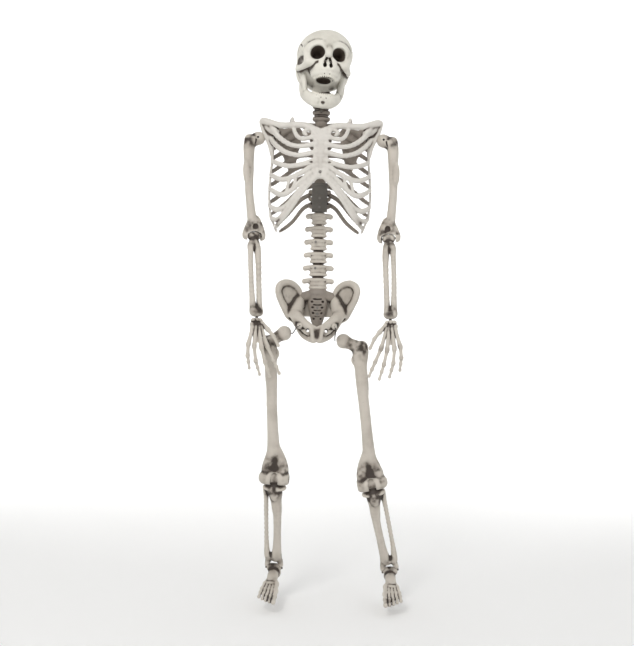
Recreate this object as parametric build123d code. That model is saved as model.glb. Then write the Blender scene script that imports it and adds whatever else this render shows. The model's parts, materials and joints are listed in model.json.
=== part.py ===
"""Life-size hanging skeleton figure: hollow plastic bones joined by pins, pegs and bent wires.

Figure frame, in millimetres: x towards the figure's left, y towards its back, z up from the floor below its
toes, and the figure faces -y. Every node is moved at the end so that the hanging hole is the origin.
Limbs are made on the +x side, in a frame of their own, and the right ones are mirrored.
"""
from build123d import *
import os
from math import cos, radians, sin

# ---------------------------------------------------------------- driving dimensions
HANG = (0, 98, 1418)                # centre of the hanging hole in the lug behind the neck
HANG_R, HANG_T, HANG_LUG_R = 4.0, 7.0, 10.0

PIN_FIT = 0.08                      # radial room of a turning pin in its hole
SIDE_GAP = 1.0                      # room on each side of a tongue in its fork
SCREW_R, SCREW_HEAD_R, SCREW_HEAD_H = 1.6, 3.6, 2.2

# where the joints of each limb are, with x measured away from the middle
JOINTS = {
    "left": {"shoulder": (184, 0, 1376), "elbow": (206, -8, 1087), "wrist": (210, -80, 848),
             "hip": (79, 0, 783), "knee": (169, -35, 370), "ankle": (236, 60, 93)},
    "right": {"shoulder": (184, 0, 1376), "elbow": (191, -8, 1086), "wrist": (173, -80, 847),
              "hip": (96, 0, 803), "knee": (114, -35, 381), "ankle": (114, 60, 96)},
}
FOOT_DROP = 12                      # slope of the sole down towards the toes, in degrees
HIP_HOLE = (50, 826)                # x and z of the hole through the pelvis for the hip wire
HIP_BOSS_Y = (-34, 26)              # front and back of that hole
WIRE_R = 1.5

# rib cage: height, half width and half depth of its outer surface, which splits at y = 0
CAGE = [(1100, 128, 76), (1150, 148, 85), (1205, 153, 88), (1262, 150, 87), (1314, 145, 82), (1354, 146, 72),
        (1400, 160, 53), (1434, 174, 33)]
RIB_T = 7.0                         # thickness of the rib shells
COLUMN = (20, 48, 86)               # half width, front and back of the spine inside the rear shell
POCKET = (12.3, 74.3, 1251)         # half width, back and top of the pocket that takes the lower spine

# front ribs in front view, from the breastbone outwards
FRONT_RIBS = [
    ([(18, 1373), (46, 1367), (66, 1376), (78, 1402), (82, 1430)], 5.0),
    ([(16, 1351), (58, 1345), (95, 1354), (128, 1382), (158, 1424)], 6.0),
    ([(16, 1325), (60, 1319), (100, 1329), (130, 1350), (150, 1376)], 6.5),
    ([(14, 1301), (54, 1291), (90, 1288), (120, 1297), (148, 1318)], 6.5),
    ([(12, 1286), (50, 1268), (82, 1252), (114, 1250), (154, 1275)], 6.5),
    ([(10, 1272), (50, 1246), (80, 1217), (110, 1206), (158, 1237)], 6.5),
    ([(8, 1262), (44, 1233), (74, 1196), (105, 1167), (130, 1165), (156, 1187)], 6.5),
    ([(70, 1200), (94, 1160), (120, 1133), (152, 1150)], 6.0),
    ([(92, 1163), (112, 1128), (134, 1112)], 6.0),
]
# rear ribs in back view, from the spine outwards
REAR_RIBS = [
    ([(10, 1422), (60, 1424), (110, 1400), (152, 1362)], 6.0),
    ([(10, 1397), (66, 1398), (116, 1372), (150, 1336)], 6.0),
    ([(10, 1370), (68, 1368), (116, 1342), (150, 1312)], 6.5),
    ([(10, 1340), (68, 1336), (118, 1304), (154, 1270)], 6.5),
    ([(10, 1310), (68, 1303), (118, 1266), (157, 1231)], 6.5),
    ([(10, 1280), (66, 1267), (114, 1222), (155, 1182)], 6.5),
    ([(10, 1250), (64, 1233), (110, 1187), (152, 1146)], 6.0),
    ([(10, 1226), (60, 1204), (100, 1156), (138, 1110)], 6.0),
    ([(10, 1198), (50, 1180), (84, 1136), (118, 1106)], 5.5),
]
BREASTBONE = [(0, 1402), (14, 1407), (32, 1404), (30, 1378), (22, 1362), (21, 1300), (24, 1272), (14, 1252),
              (0, 1248)]
SHOULDER_BLADE = [(58, 1404), (120, 1408), (166, 1428), (150, 1392), (122, 1368), (96, 1296), (84, 1290),
                  (72, 1330)]
SHOULDER_WING = [(118, 1396), (150, 1418), (172, 1430), (177, 1420), (158, 1382), (150, 1350), (140, 1350),
                 (134, 1372)]

LUMBAR_TOP, LUMBAR_BOTTOM, LUMBAR_COUNT = 1167, 933, 6
LUMBAR_Y = (54, 38)                 # middle of the lowest spine at its top and bottom
LUMBAR_HALF = (18.5, 27)            # half width of its bodies at the top and bottom
LUMBAR_SPLIT_Y = 46

NECK_PIN = (0, 14, 1412)            # the neck's nodding pin
HEAD_PIVOT = (0, 14, 1552)          # where the skull turns on its peg
HEAD_PITCH, HEAD_ROLL, HEAD_YAW = -2, 4, 8
BRAIN_CENTRE, BRAIN_SIZE = (0, -16, 84), (81, 92, 61)
SKULL_WALL = 3.0
SKULL_SPLIT_Y = 15
PEG_R = 9.0
JAW_PIN = (54, -2, 20)              # jaw hinge in the skull's frame, whose origin is the head pivot
JAW_OPEN = 22                       # the jaw hangs this many degrees open

ARM_PIN_R, LEG_PIN_R = 3.0, 3.5
SHOULDER_PIN_R, WRIST_PEG_R = 2.0, 4.0
WING_T = 9                          # thickness of each shell's half of a shoulder wing
STEM_R, STEM_BOSS, STEM_BOSS_R = 2.5, (138, 157), 10   # the shoulder's turning stem and its boss
COLLARBONE = [(20, -36, 1398), (62, -40, 1410), (118, -30, 1414), (168, -7.5, 1427)]
BREAST_SCREW = ((0, -86.5, 1268), (0, -74, 1268))
SPINE_SCREWS = [((0, COLUMN[1] - 8, z), (0, 70, z)) for z in (1209, 1182)]
LUMBAR_SCREWS = [((-9, LUMBAR_SPLIT_Y - 22, z), (-9, LUMBAR_SPLIT_Y + 3, z)) for z in (1076, 998)]
SACRUM_SCREWS = [((0, 22, z), (0, 54, z)) for z in (880, 862)]
NECK_SCREW = ((0, -12, 1458), (0, 26, 1458))
SIDES = {"left": 1, "right": -1}
BODY = {}                           # every finished node by name


# ---------------------------------------------------------------- small shapes
def ball(p, r):
    return Pos(*p) * Solid.make_sphere(r, Plane.XY)


def bar(p, q, r1, r2=None):
    """A round bar from p to q, tapered if its end radii differ."""
    p, q = Vector(p), Vector(q)
    along = Plane(origin=p, z_dir=q - p)
    if r2 is None or abs(r1 - r2) < 0.01:
        return Solid.make_cylinder(r1, (q - p).length, along)
    return Solid.make_cone(r1, r2, (q - p).length, along)


def chain(points, radii):
    """Bars joined end to end with balls, as one rounded limb."""
    shapes = [ball(p, r) for p, r in zip(points, radii)]
    return shapes + [bar(p, q, a, b) for p, q, a, b in zip(points, points[1:], radii, radii[1:])]


def block(x, y, z):
    """A box given by its ranges."""
    return Pos(x[0], y[0], z[0]) * Solid.make_box(x[1] - x[0], y[1] - y[0], z[1] - z[0])


def ellipsoid(centre, radii):
    return Pos(*centre) * scale(Solid.make_sphere(1, Plane.XY), by=tuple(float(r) for r in radii))


def oval(z0, z1, half_x, half_y, x=0, y=0):
    """An upright oval drum."""
    face = Face(Wire(Edge.make_ellipse(half_x, half_y, Plane((x, y, z0)))))
    return Solid.extrude(face, Vector(0, 0, z1 - z0))


def pair(*shapes):
    """Shapes and their mirror images across the middle."""
    return list(shapes) + [s.mirror(Plane.YZ) for s in shapes]


def whole(result):
    """The solids of a boolean's result, as one shape."""
    found = result.solids()
    return found[0] if len(found) == 1 else Compound(found)


def fuse(shapes):
    return whole(shapes[0].fuse(*shapes[1:]))


def cut(shape, tools):
    return whole(shape.cut(*tools))


def common(shape, tool):
    return whole(shape.intersect(tool))


def keep(name, *shapes):
    BODY[name] = Compound([s for shape in shapes for s in shape.solids()])


def screw(head, tip):
    """A pan-head screw from the top of its head to its tip."""
    head, tip = Vector(head), Vector(tip)
    under = head + (tip - head).normalized() * SCREW_HEAD_H
    return fuse([bar(head, under, SCREW_HEAD_R), bar(head, tip, SCREW_R)])


def screw_hole(head, tip):
    """The sunk hole that a screw fills."""
    head, tip = Vector(head), Vector(tip)
    along = (tip - head).normalized()
    return [bar(head - along * 12, head + along * SCREW_HEAD_H, SCREW_HEAD_R), bar(head, tip, SCREW_R)]


# ---------------------------------------------------------------- rib cage
def cage_wall(towards):
    """The front or rear half of the rib cage's wall, as the space between two lofted surfaces."""
    def surface(inset, stretch):
        sizes = [(z, w - inset, d - inset) for z, w, d in CAGE]
        sizes[0] = (sizes[0][0] - stretch, *sizes[0][1:])
        sizes[-1] = (sizes[-1][0] + stretch, *sizes[-1][1:])
        return Solid.make_loft([Wire(Edge.make_ellipse(w, d, Plane((0, 0, z)))) for z, w, d in sizes])

    wall = cut(surface(0, 0), [surface(RIB_T, 2)])
    return common(wall, block((-200, 200), sorted((0, 120 * towards)), (1090, 1440)))


def band(points, half):
    """The outline of a rib in front view: a strip of even width along a smooth line."""
    line = Edge.make_spline([Vector(x, 0, z) for x, z in points])
    upper, lower = [], []
    for i in range(9):
        p, t = line @ (i / 8), line % (i / 8)
        side = Vector(-t.Z, 0, t.X) * half
        upper.append(p + side)
        lower.append(p - side)
    edges = [Edge.make_spline(upper), Edge.make_line(upper[-1], lower[-1]),
             Edge.make_spline(lower), Edge.make_line(lower[0], upper[0])]
    return Face(Wire(edges))


def outline(points):
    return Face(Wire.make_polygon([Vector(x, 0, z) for x, z in points], close=True))


def carve(wall, faces, towards):
    """The pieces of the wall that lie behind flat outlines."""
    return common(wall, fuse([Solid.extrude(face, Vector(0, towards * 120, 0)) for face in faces]))


def cage_half(towards, faces):
    """One shell of the rib cage: ribs, a flange down each flank, shoulder wings and stem bosses."""
    wall = cage_wall(towards)
    y = sorted((0, 5 * towards))
    rail = common(wall, fuse(pair(block((95, 200), y, (1090, 1440)))))
    wing = pair(Solid.extrude(outline(SHOULDER_WING), Vector(0, WING_T * towards, 0)))
    x, mid, z = JOINTS["left"]["shoulder"]
    boss = pair(common(bar((STEM_BOSS[0], mid, z), (STEM_BOSS[1], mid, z), STEM_BOSS_R),
                       block((100, 200), sorted((0, 60 * towards)), (1300, 1440))))
    hole = pair(bar((100, mid, z), (x, mid, z), STEM_R + PIN_FIT), bar((100, mid, z), (STEM_BOSS[0], mid, z), 7))
    return fuse([carve(wall, faces, towards), rail] + wing + boss), hole


def rib_cage_front():
    ribs = [band(points, half) for points, half in FRONT_RIBS]
    bone = outline(BREASTBONE + [(-x, z) for x, z in reversed(BREASTBONE[1:-1])])
    shell, holes = cage_half(-1, [face for rib in ribs for face in (rib, rib.mirror(Plane.YZ))] + [bone])
    collar = pair(*chain(COLLARBONE, [8, 7, 7, 6.5]))
    return cut(fuse([shell] + collar), holes + screw_hole(*BREAST_SCREW))


def rib_cage_rear():
    ribs = [band(points, half) for points, half in REAR_RIBS]
    blade = outline(SHOULDER_BLADE)
    faces = [face for flat in ribs + [blade] for face in (flat, flat.mirror(Plane.YZ))]
    shell, holes = cage_half(1, faces)
    half, front, back = COLUMN
    column = block((-half, half), (front, back), (LUMBAR_TOP, 1432))
    thorns = [bar((0, back - 4, z), (0, back + 9, z - 9), 6, 3.5) for z in range(1180, 1400, 27)]
    spine_of_blade = pair(bar((70, 58, 1366), (158, 13, 1416), 6, 7))
    ears = pair(block((15.2, 20), (14, front + 4), (1403, 1421)), bar((15.2, 14, 1412), (20, 14, 1412), 9))
    lug = [bar((-HANG_T / 2, *HANG[1:]), (HANG_T / 2, *HANG[1:]), HANG_LUG_R),
           block((-HANG_T / 2, HANG_T / 2), (back - 6, HANG[1]), (HANG[2] - HANG_LUG_R, HANG[2] + 6))]
    ties = pair(bar((18, 62, 1380), (44, 50, 1372), 6), bar((18, 66, 1240), (60, 72, 1226), 5))
    solid = fuse([shell, column] + thorns + spine_of_blade + ears + lug + ties)
    pocket = block((-POCKET[0], POCKET[0]), (front - 5, POCKET[1]), (LUMBAR_TOP - 20, POCKET[2]))
    bore = bar((-20, *HANG[1:]), (20, *HANG[1:]), HANG_R)
    pin = bar((-30, *NECK_PIN[1:]), (30, *NECK_PIN[1:]), ARM_PIN_R)
    return cut(solid, holes + [pocket, bore, pin] + [t for s in SPINE_SCREWS for t in screw_hole(*s)])


def spine_cover():
    half, front = 23, COLUMN[1] - 8
    plate = block((-half, half), (front, COLUMN[1]), (LUMBAR_TOP, 1254))
    ridges = [block((-half, half), (front - 2, front), (z - 3, z + 3)) for z in (1171, 1196, 1224, 1250)]
    return cut(fuse([plate] + ridges), [t for s in SPINE_SCREWS for t in screw_hole(*s)])


# ---------------------------------------------------------------- lower spine and pelvis
def lumbar_y(z):
    top, bottom = LUMBAR_Y
    return bottom + (top - bottom) * (z - LUMBAR_BOTTOM) / (LUMBAR_TOP - LUMBAR_BOTTOM)


def lumbar():
    """Six vertebrae with discs, side and back processes, a tongue at each end, split front and rear."""
    pitch = (LUMBAR_TOP - LUMBAR_BOTTOM) / LUMBAR_COUNT
    shapes = []
    for i in range(LUMBAR_COUNT):
        z0, z1 = LUMBAR_BOTTOM + i * pitch, LUMBAR_BOTTOM + (i + 1) * pitch
        mid, share = (z0 + z1) / 2, i / (LUMBAR_COUNT - 1)
        y = lumbar_y(mid)
        wide = LUMBAR_HALF[1] + (LUMBAR_HALF[0] - LUMBAR_HALF[1]) * share
        reach = 40 - 9 * share
        shapes.append(oval(z0 + 3, z1 - 3, wide, 17, 0, y))
        shapes.append(oval(z0, z1, wide - 4, 14, 0, y))
        shapes += pair(bar((wide - 6, y + 4, mid + 4), (reach, y + 8, mid + 6), 5.5, 4))
        shapes.append(block((-3, 3), (y + 12, y + 38 - 6 * share), (mid - 10, mid + 8)))
    tongue = block((-12, 12), (50, 74), (LUMBAR_TOP - 8, 1250))
    foot = block((-10, 10), (30, 48), (908, LUMBAR_BOTTOM + 6))
    solid = fuse(shapes + [tongue, foot])
    holes = [t for s in SPINE_SCREWS for t in screw_hole(*s)] + [t for s in LUMBAR_SCREWS for t in screw_hole(*s)]
    solid = cut(solid, holes)
    front = common(solid, block((-60, 60), (-20, LUMBAR_SPLIT_Y), (900, 1260)))
    return front, common(solid, block((-60, 60), (LUMBAR_SPLIT_Y, 120), (900, 1260)))


def sacrum_shape(room):
    """The sacrum's outer shape, or that shape with some room round it."""
    upper = Solid.make_loft([Wire(Edge.make_ellipse(w + room, d + room, Plane((0, y, z)))) for z, w, d, y in
                             ((932, 27, 16, 38), (908, 34, 15, 36), (850, 20, 10, 36), (816, 9, 6, 30))])
    return fuse([upper] + pair(bar((18, 38, 912), (49 + room, 38, 908), 13 + room, 8 + room)))


def sacrum():
    back = block((-90, 90), (46, 90), (800, 940))
    foot = block((-10, 10), (30, 48), (908, 940))
    return cut(sacrum_shape(0), [back, foot] + [t for s in SACRUM_SCREWS for t in screw_hole(*s)])


def pelvis():
    """Two flared wings joined by the pubic ring in front and a bridge behind the sacrum."""
    wing_face = outline([(44, 900), (56, 936), (76, 954), (98, 956), (121, 932), (117, 900), (98, 872), (78, 846),
                         (52, 848)])
    prism = Solid.extrude(wing_face, Vector(0, 160, 0)).moved(Location((0, -80, 0)))
    slab = Rot(0, 0, -42) * block((-80, 80), (-4.5, 4.5), (-80, 80))
    wing = common(prism, Pos(80, 6, 905) * slab)
    rim = chain([(50, 36, 930), (76, 12, 953), (98, -8, 954), (116, -28, 930)], [6, 6, 6, 6])
    side = ([wing] + rim
            + chain([(48, 38, 905), (56, 22, 872), (62, -4, 848)], [11, 12, 19])
            + chain([(62, -4, 848), (40, -26, 834), (14, -40, 812), (9, -38, 792)], [14, 9, 8.5, 8.5])
            + chain([(62, -4, 848), (50, 14, 816), (42, 12, 798), (24, -12, 788), (9, -36, 786)],
                    [16, 11, 10, 7, 8])
            + [bar((HIP_HOLE[0], HIP_BOSS_Y[0], HIP_HOLE[1]), (HIP_HOLE[0], HIP_BOSS_Y[1], HIP_HOLE[1]), 7)])
    bridge = [block((-50, 50), (46, 56), (852, 902)), block((-10, 10), (-46, -32), (784, 818))]
    wire = pair(bar((HIP_HOLE[0], -60, HIP_HOLE[1]), (HIP_HOLE[0], 60, HIP_HOLE[1]), WIRE_R + PIN_FIT))
    seat = cut(sacrum_shape(1.0), [block((-90, 90), (46, 90), (800, 940))])
    return cut(fuse(pair(*side) + bridge), wire + [seat] + [t for s in SACRUM_SCREWS for t in screw_hole(*s)])


# ---------------------------------------------------------------- neck and head
def neck():
    """A ringed column split front and rear, with a tongue on the nodding pin and a socket for the peg."""
    x, y, z = NECK_PIN
    top = head_place(Pos(0, 0, 0) * bar((0, 0, -46), (0, 0, -5), 24, 22))
    rings = [oval(zz, zz + 12, 26, 24, 0, y) for zz in range(1432, 1504, 18)]
    column = oval(1430, 1512, 23, 21, 0, y)
    tongue = [bar((-14, y, z), (14, y, z), 9), block((-14, 14), (y - 9, y + 9), (z, 1436))]
    solid = fuse(tongue + [column, top] + rings)
    holes = [bar((-30, y, z), (30, y, z), ARM_PIN_R + PIN_FIT), head_place(peg_shape())] + screw_hole(*NECK_SCREW)
    solid = cut(solid, holes)
    front = common(solid, block((-60, 60), (-60, y), (1380, 1560)))
    return front, common(solid, block((-60, 60), (y, 90), (1380, 1560)))


def peg_shape():
    """The peg that the skull turns on, with a flange inside the neck and another inside the skull."""
    return fuse([bar((0, 0, -24), (0, 0, 20), PEG_R), bar((0, 0, -24), (0, 0, -18), PEG_R + 4),
                 bar((0, 0, 15.5), (0, 0, 20), PEG_R + 4)])


def head_place(shape):
    """Takes a shape from the skull's own frame to where the tilted head is."""
    turned = Rot(0, 0, HEAD_YAW) * Rot(0, HEAD_ROLL, 0) * Rot(HEAD_PITCH, 0, 0)
    return Pos(*HEAD_PIVOT) * turned * shape


def skull():
    """Face and brain case as two hollow shells, with a floor that rests round the peg."""
    centre, size = BRAIN_CENTRE, BRAIN_SIZE
    hollow = [s - SKULL_WALL for s in size]
    cheeks = pair(ball((49, -78, 22), 14), bar((52, -76, 21), (68, -38, 24), 8, 5),
                  bar((68, -38, 24), (66, 2, 36), 5, 7), ball((68, -38, 24), 5))
    base = [bar((0, 0, 0), (0, 0, 44), 27), *pair(bar((16, JAW_PIN[1], 20), (46.5, JAW_PIN[1], 20), 9))]
    outer = fuse([ellipsoid(centre, size), bar((0, -68, 78), (0, -68, -14), 47, 33), ball((0, -60, 80), 50)]
                 + cheeks + base)
    outer = cut(outer, [block((-40, 40), (-58, -28), (-40, 22))])
    inside = [ellipsoid(centre, hollow), bar((0, 0, 15), (0, 0, 60), 20)]
    face_holes = pair(bar((32, -128, 44), (22, -66, 48), 22, 13)) + [bar((0, -126, 16), (0, -78, 22), 13, 8)]
    pins = pair(bar((26, *JAW_PIN[1:]), (64, *JAW_PIN[1:]), ARM_PIN_R))
    shell = cut(outer, inside + face_holes + pins + [bar((0, 0, -10), (0, 0, 40), PEG_R + PIN_FIT)])
    teeth = [bar((x, y, -25), (x, y, -8), 4) for x, y in tooth_row(28, -96, 34, 13)]
    face = fuse([cut(shell, [block((-120, 120), (SKULL_SPLIT_Y, 120), (-60, 170))])] + teeth)
    rear = cut(shell, [block((-120, 120), (-140, SKULL_SPLIT_Y), (-60, 170))])
    return face, rear


def tooth_row(half_width, front, depth, count):
    """Places round half an oval, as x and y."""
    turns = [radians(-82 + 164 * i / (count - 1)) for i in range(count)]
    return [(half_width * sin(t), front + depth * (1 - cos(t))) for t in turns]


def mandible():
    """The lower jaw, made closed in the skull's frame and then swung open."""
    x, y, z = JAW_PIN
    side = chain([(x, y, z), (53, -8, -10), (47, -18, -36), (34, -56, -50), (14, -84, -55)], [6, 7, 8.5, 9, 9])
    bone = fuse(pair(*side) + [bar((-14, -84, -55), (14, -84, -55), 9), block((-19, 19), (-92, -80), (-67, -46))])
    teeth = [bar((tx, ty, -46), (tx, ty, -28), 3.8) for tx, ty in tooth_row(27, -91, 32, 13)]
    solid = cut(fuse([bone] + teeth), pair(bar((40, y, z), (70, y, z), ARM_PIN_R + PIN_FIT)))
    return solid.rotate(Axis((0, y, z), (1, 0, 0)), JAW_OPEN)


# ---------------------------------------------------------------- limbs, in frames of their own
class Frame:
    """A bone's place: origin at its upper joint, z up the bone, x across it and away from the body."""

    def __init__(self, origin, across, up):
        self.place = Plane(origin=Vector(*origin), x_dir=across, z_dir=up).location

    def __call__(self, shape):
        return self.place * shape


def limb_frames(upper, middle, lower):
    """Frames of an upper and a lower bone that share the hinge between them, and their lengths."""
    upper, middle, lower = Vector(*upper), Vector(*middle), Vector(*lower)
    across = (middle - upper).cross(lower - middle).normalized()
    across = across if across.X > 0 else -across
    first, second = upper - middle, middle - lower
    return (Frame(upper, across, first), Frame(middle, across, second), first.length, second.length)


def humerus(length):
    """Upper arm: slotted ball head, shaft, and a fork for the elbow."""
    head = [ball((0, 0, 0), 19.5), bar((4, 0, -2), (24, 0, -14), 15), ball((27, 3, -3), 15),
            bar((27, 3, -3), (26, 0, -40), 15, 13.5)]
    shaft = chain([(24, 0, -16), (26, 0, -60), (22, 0, -150), (11, 0, -225), (3, 0, -length + 38)],
                  [15, 13.5, 12.5, 12, 12])
    fork = []
    for s in (-1, 1):
        fork += [bar((s * 2, 0, 40 - length), (s * 19, 0, 14 - length), 10, 8.5), ball((s * 19, 0, 14 - length), 8.5),
                 bar((s * 11, 0, -length), (s * 24, 0, -length), 13),
                 bar((s * 19, 0, 14 - length), (s * 19, 0, -length), 8.5), ball((s * 26, 0, 5 - length), 7)]
    slot = [bar((-10.5, 0, -length), (10.5, 0, -length), 16)]
    holes = [bar((-40, 0, -length), (40, 0, -length), ARM_PIN_R)]
    marrow = [bar((25, 0, -50), (21.5, 0, -150), 9.5), bar((21.5, 0, -150), (11, 0, -225), 9)]
    return cut(fuse(head + shaft + fork), slot + holes + marrow)


def shoulder_slot():
    """The slot in the ball for the link's eye, open inwards and upwards, and the hole for its pin."""
    return [block((-26, 6), (-2.6, 2.6), (-7, 26)), bar((0, -2.6, 0), (0, 2.6, 0), 7.5),
            bar((0, -13, 0), (0, 13, 0), SHOULDER_PIN_R)]


def shoulder_link():
    """A flat eye in the slot of the head on a stem that turns in the boss, with a button inside the cage."""
    x = JOINTS["left"]["shoulder"][0]
    eye = bar((0, -2, 0), (0, 2, 0), 6)
    stem = bar((0, 0, 0), (STEM_BOSS[0] - 5.5 - x, 0, 0), STEM_R)
    stem = cut(stem, [block((-14, 20), (-10, -2), (-9, 9)), block((-14, 20), (2, 10), (-9, 9))])
    button = bar((STEM_BOSS[0] - 1 - x, 0, 0), (STEM_BOSS[0] - 5.5 - x, 0, 0), 6)
    hole = bar((0, -10, 0), (0, 10, 0), SHOULDER_PIN_R + PIN_FIT)
    return cut(fuse([eye, stem, button]), [hole])


def forearm(length):
    """Two bones joined at the elbow's tongue and at the wrist, with a blind hole for the peg."""
    elbow = [bar((-9.5, 0, 0), (9.5, 0, 0), 13), bar((0, 0, 0), (-4, 0, -22), 7.5, 8.5), ball((-5, 0, -26), 9)]
    ulna = chain([(-8, 0, -28), (-11, 0, -62), (-10, 0, -160), (-10, 0, 18 - length)], [9, 7.5, 7, 8.5])
    radius = chain([(9, 0, -30), (13, 0, -62), (14, -1, -130), (11, 0, 18 - length)], [8, 5.5, 5.5, 8])
    wrist = [bar((-10, 0, 19 - length), (11, 0, 19 - length), 7)]
    socket = [bar((0, 0, -length), (0, 0, 26 - length), WRIST_PEG_R + PIN_FIT),
              bar((-20, 0, 0), (20, 0, 0), ARM_PIN_R + PIN_FIT)]
    return cut(fuse(elbow + ulna + radius + wrist), socket)


def hand():
    """Wrist bones and five fingers, hanging from the peg, with the thumb on the inner side."""
    knuckles = {"index": [(-13, -2, -34), (-29, 2, -84), (-48, 8, -122), (-67, 18, -158)],
                "middle": [(-5, -2, -36), (-11, 0, -90), (-22, 6, -130), (-37, 17, -168)],
                "ring": [(5, -2, -36), (10, 1, -87), (5, 8, -127), (-8, 18, -163)],
                "little": [(16, 0, -33), (27, 3, -81), (28, 9, -112), (22, 18, -145)],
                "thumb": [(-18, -2, -20), (-32, -5, -37), (-46, -8, -56), (-58, -10, -84)]}
    radii = {"thumb": [5, 4.5, 4.5, 3]}
    shapes = [ball((x, 0, z), 8.5) for x, z in ((-15, -14), (-5, -11), (6, -11), (15, -15), (-13, -27), (-2, -26),
                                                (10, -27))]
    shapes += [bar((-14, 0, -20), (15, 0, -20), 8)]
    for name, points in knuckles.items():
        shapes += chain(points, radii.get(name, [4.5, 5, 4.2, 2.6]))
    return cut(fuse(shapes), [bar((0, 0, -16), (0, 0, 20), WRIST_PEG_R)])


def femur(length):
    """Thigh bone: ball head with a cross hole for the wire, neck, trochanter, shaft and knee fork."""
    top = [ball((0, 0, 0), 22), bar((6, 0, -3), (38, 0, -24), 14, 15), ball((54, 4, -28), 14),
           bar((54, 4, -28), (38, 2, -68), 14, 15), bar((38, 0, -24), (54, 4, -28), 14)]
    shaft = chain([(38, 0, -26), (36, 2, -66), (30, 0, -120), (22, -4, -210), (13, 0, -300), (6, 0, 66 - length)],
                  [15, 17, 15.5, 15, 15.5, 17])
    fork = []
    for s in (-1, 1):
        fork += [bar((s * 4, 0, 62 - length), (s * 22, 0, 18 - length), 16, 14),
                 bar((s * 22, 0, 18 - length), (s * 23, 0, -length), 14),
                 bar((s * 11, 0, -length), (s * 31, 0, -length), 20.5), bar((s * 31, 0, -length),
                                                                        (s * 38, 0, -length), 20.4, 14)]
    slot = bar((-10.5, 0, -length), (10.5, 0, -length), 18.5)
    holes = [bar((-50, 0, -length), (50, 0, -length), LEG_PIN_R)]
    marrow = [bar((35, 1, -70), (29.5, 0, -120), 12), bar((29.5, 0, -120), (22, -4, -210), 11.5),
              bar((22, -4, -210), (13, 0, -300), 11.5)]
    return cut(fuse(top + shaft + fork), [slot] + holes + marrow)


def shin(length):
    """Shin bone and the thin bone beside it, with the knee's tongue and a fork for the ankle."""
    knee = [bar((-9.5, 0, 0), (9.5, 0, 0), 16), block((-9.5, 9.5), (-10, 10), (-30, 0)),
            oval(-37, -25, 35, 21), bar((0, 0, -36), (-5, 0, -78), 21, 10.4)]
    main = chain([(-4, 0, -58), (-9, -2, -112), (-9, 0, -200), (-8, 0, 42 - length)], [14, 10.5, 10.5, 13])
    beside = chain([(25, 4, -40), (25, 6, -82), (24, 4, -200), (20, 0, 32 - length)], [8, 6.5, 6.5, 9])
    fork = [bar((-10, 0, 36 - length), (12, 0, 34 - length), 12)]
    for s in (-1, 1):
        fork += [bar((s * 14.2, 0, -length), (s * 26, 0, -length), 12),
                 bar((s * 14, 0, 34 - length), (s * 20.5, 0, -length), 9, 6)]
    cuts = [bar((-14.2, 0, -length), (14.2, 0, -length), 15.5), bar((-40, 0, -length), (40, 0, -length), ARM_PIN_R),
            bar((-20, 0, 0), (20, 0, 0), LEG_PIN_R + PIN_FIT), bar((-9, -2, -112), (-9, 0, -200), 7)]
    return cut(fuse(knee + main + beside + fork), cuts)


def foot():
    """Ankle tongue, heel, instep and five toes, with z square to the sole and -y towards the toes."""
    shapes = [bar((-13, 0, 0), (13, 0, 0), 13), bar((0, 2, -4), (0, 16, -26), 11.5, 14), ball((0, 24, -30), 15),
              bar((0, 16, -26), (0, 24, -30), 14, 15), bar((0, -2, -10), (0, -46, -24), 11, 13)]
    shapes += [block((-19, 21), (-62, -40), (-36, -16)), bar((0, 6, -24), (0, -44, -28), 12)]
    solid = fuse(shapes)
    for i, (reach, radius) in enumerate(((152, 7.5), (149, 6), (143, 5.8), (135, 5.6), (126, 5.6))):
        x = -17 + 9.2 * i
        toe = chain([(x * 0.9, -54, -25), (x * 1.12, -88, -28), (x * 1.2, 24 - reach, -31), (x * 1.25, -reach, -33)],
                    [radius, radius, radius - 0.6, radius - 1])
        solid = fuse([solid, fuse(toe)])
    return cut(solid, [bar((-30, 0, 0), (30, 0, 0), ARM_PIN_R + PIN_FIT)])


def hip_link(head):
    """A bent wire: through the pelvis from front to back, down to the side, then across into the thigh bone."""
    x, z = HIP_HOLE
    front, back = HIP_BOSS_Y[0] - 4, HIP_BOSS_Y[1]
    inner = head[0] - 25
    drop = Vector(head[0] - x, 0, head[2] - z).normalized() * 10.5
    route = [(x, back + 2, z), (x, front, z), (x + drop.X, front, z + drop.Z),
             (x + 0.8 * (inner - x), -14, z + 0.75 * (head[2] - z)), (inner, 0, head[2]), (head[0], 0, head[2])]
    button = bar((x, back + 0.6, z), (x, back + 3, z), 4)
    return fuse(chain(route, [WIRE_R] * len(route)) + [button])


# ---------------------------------------------------------------- assembly
def finish(name, side, *shapes):
    """Keeps a limb's part, mirrored for the right side."""
    placed = shapes if side == "left" else [shape.mirror(Plane.YZ) for shape in shapes]
    keep(f"{name}_{side}", *placed)


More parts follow.
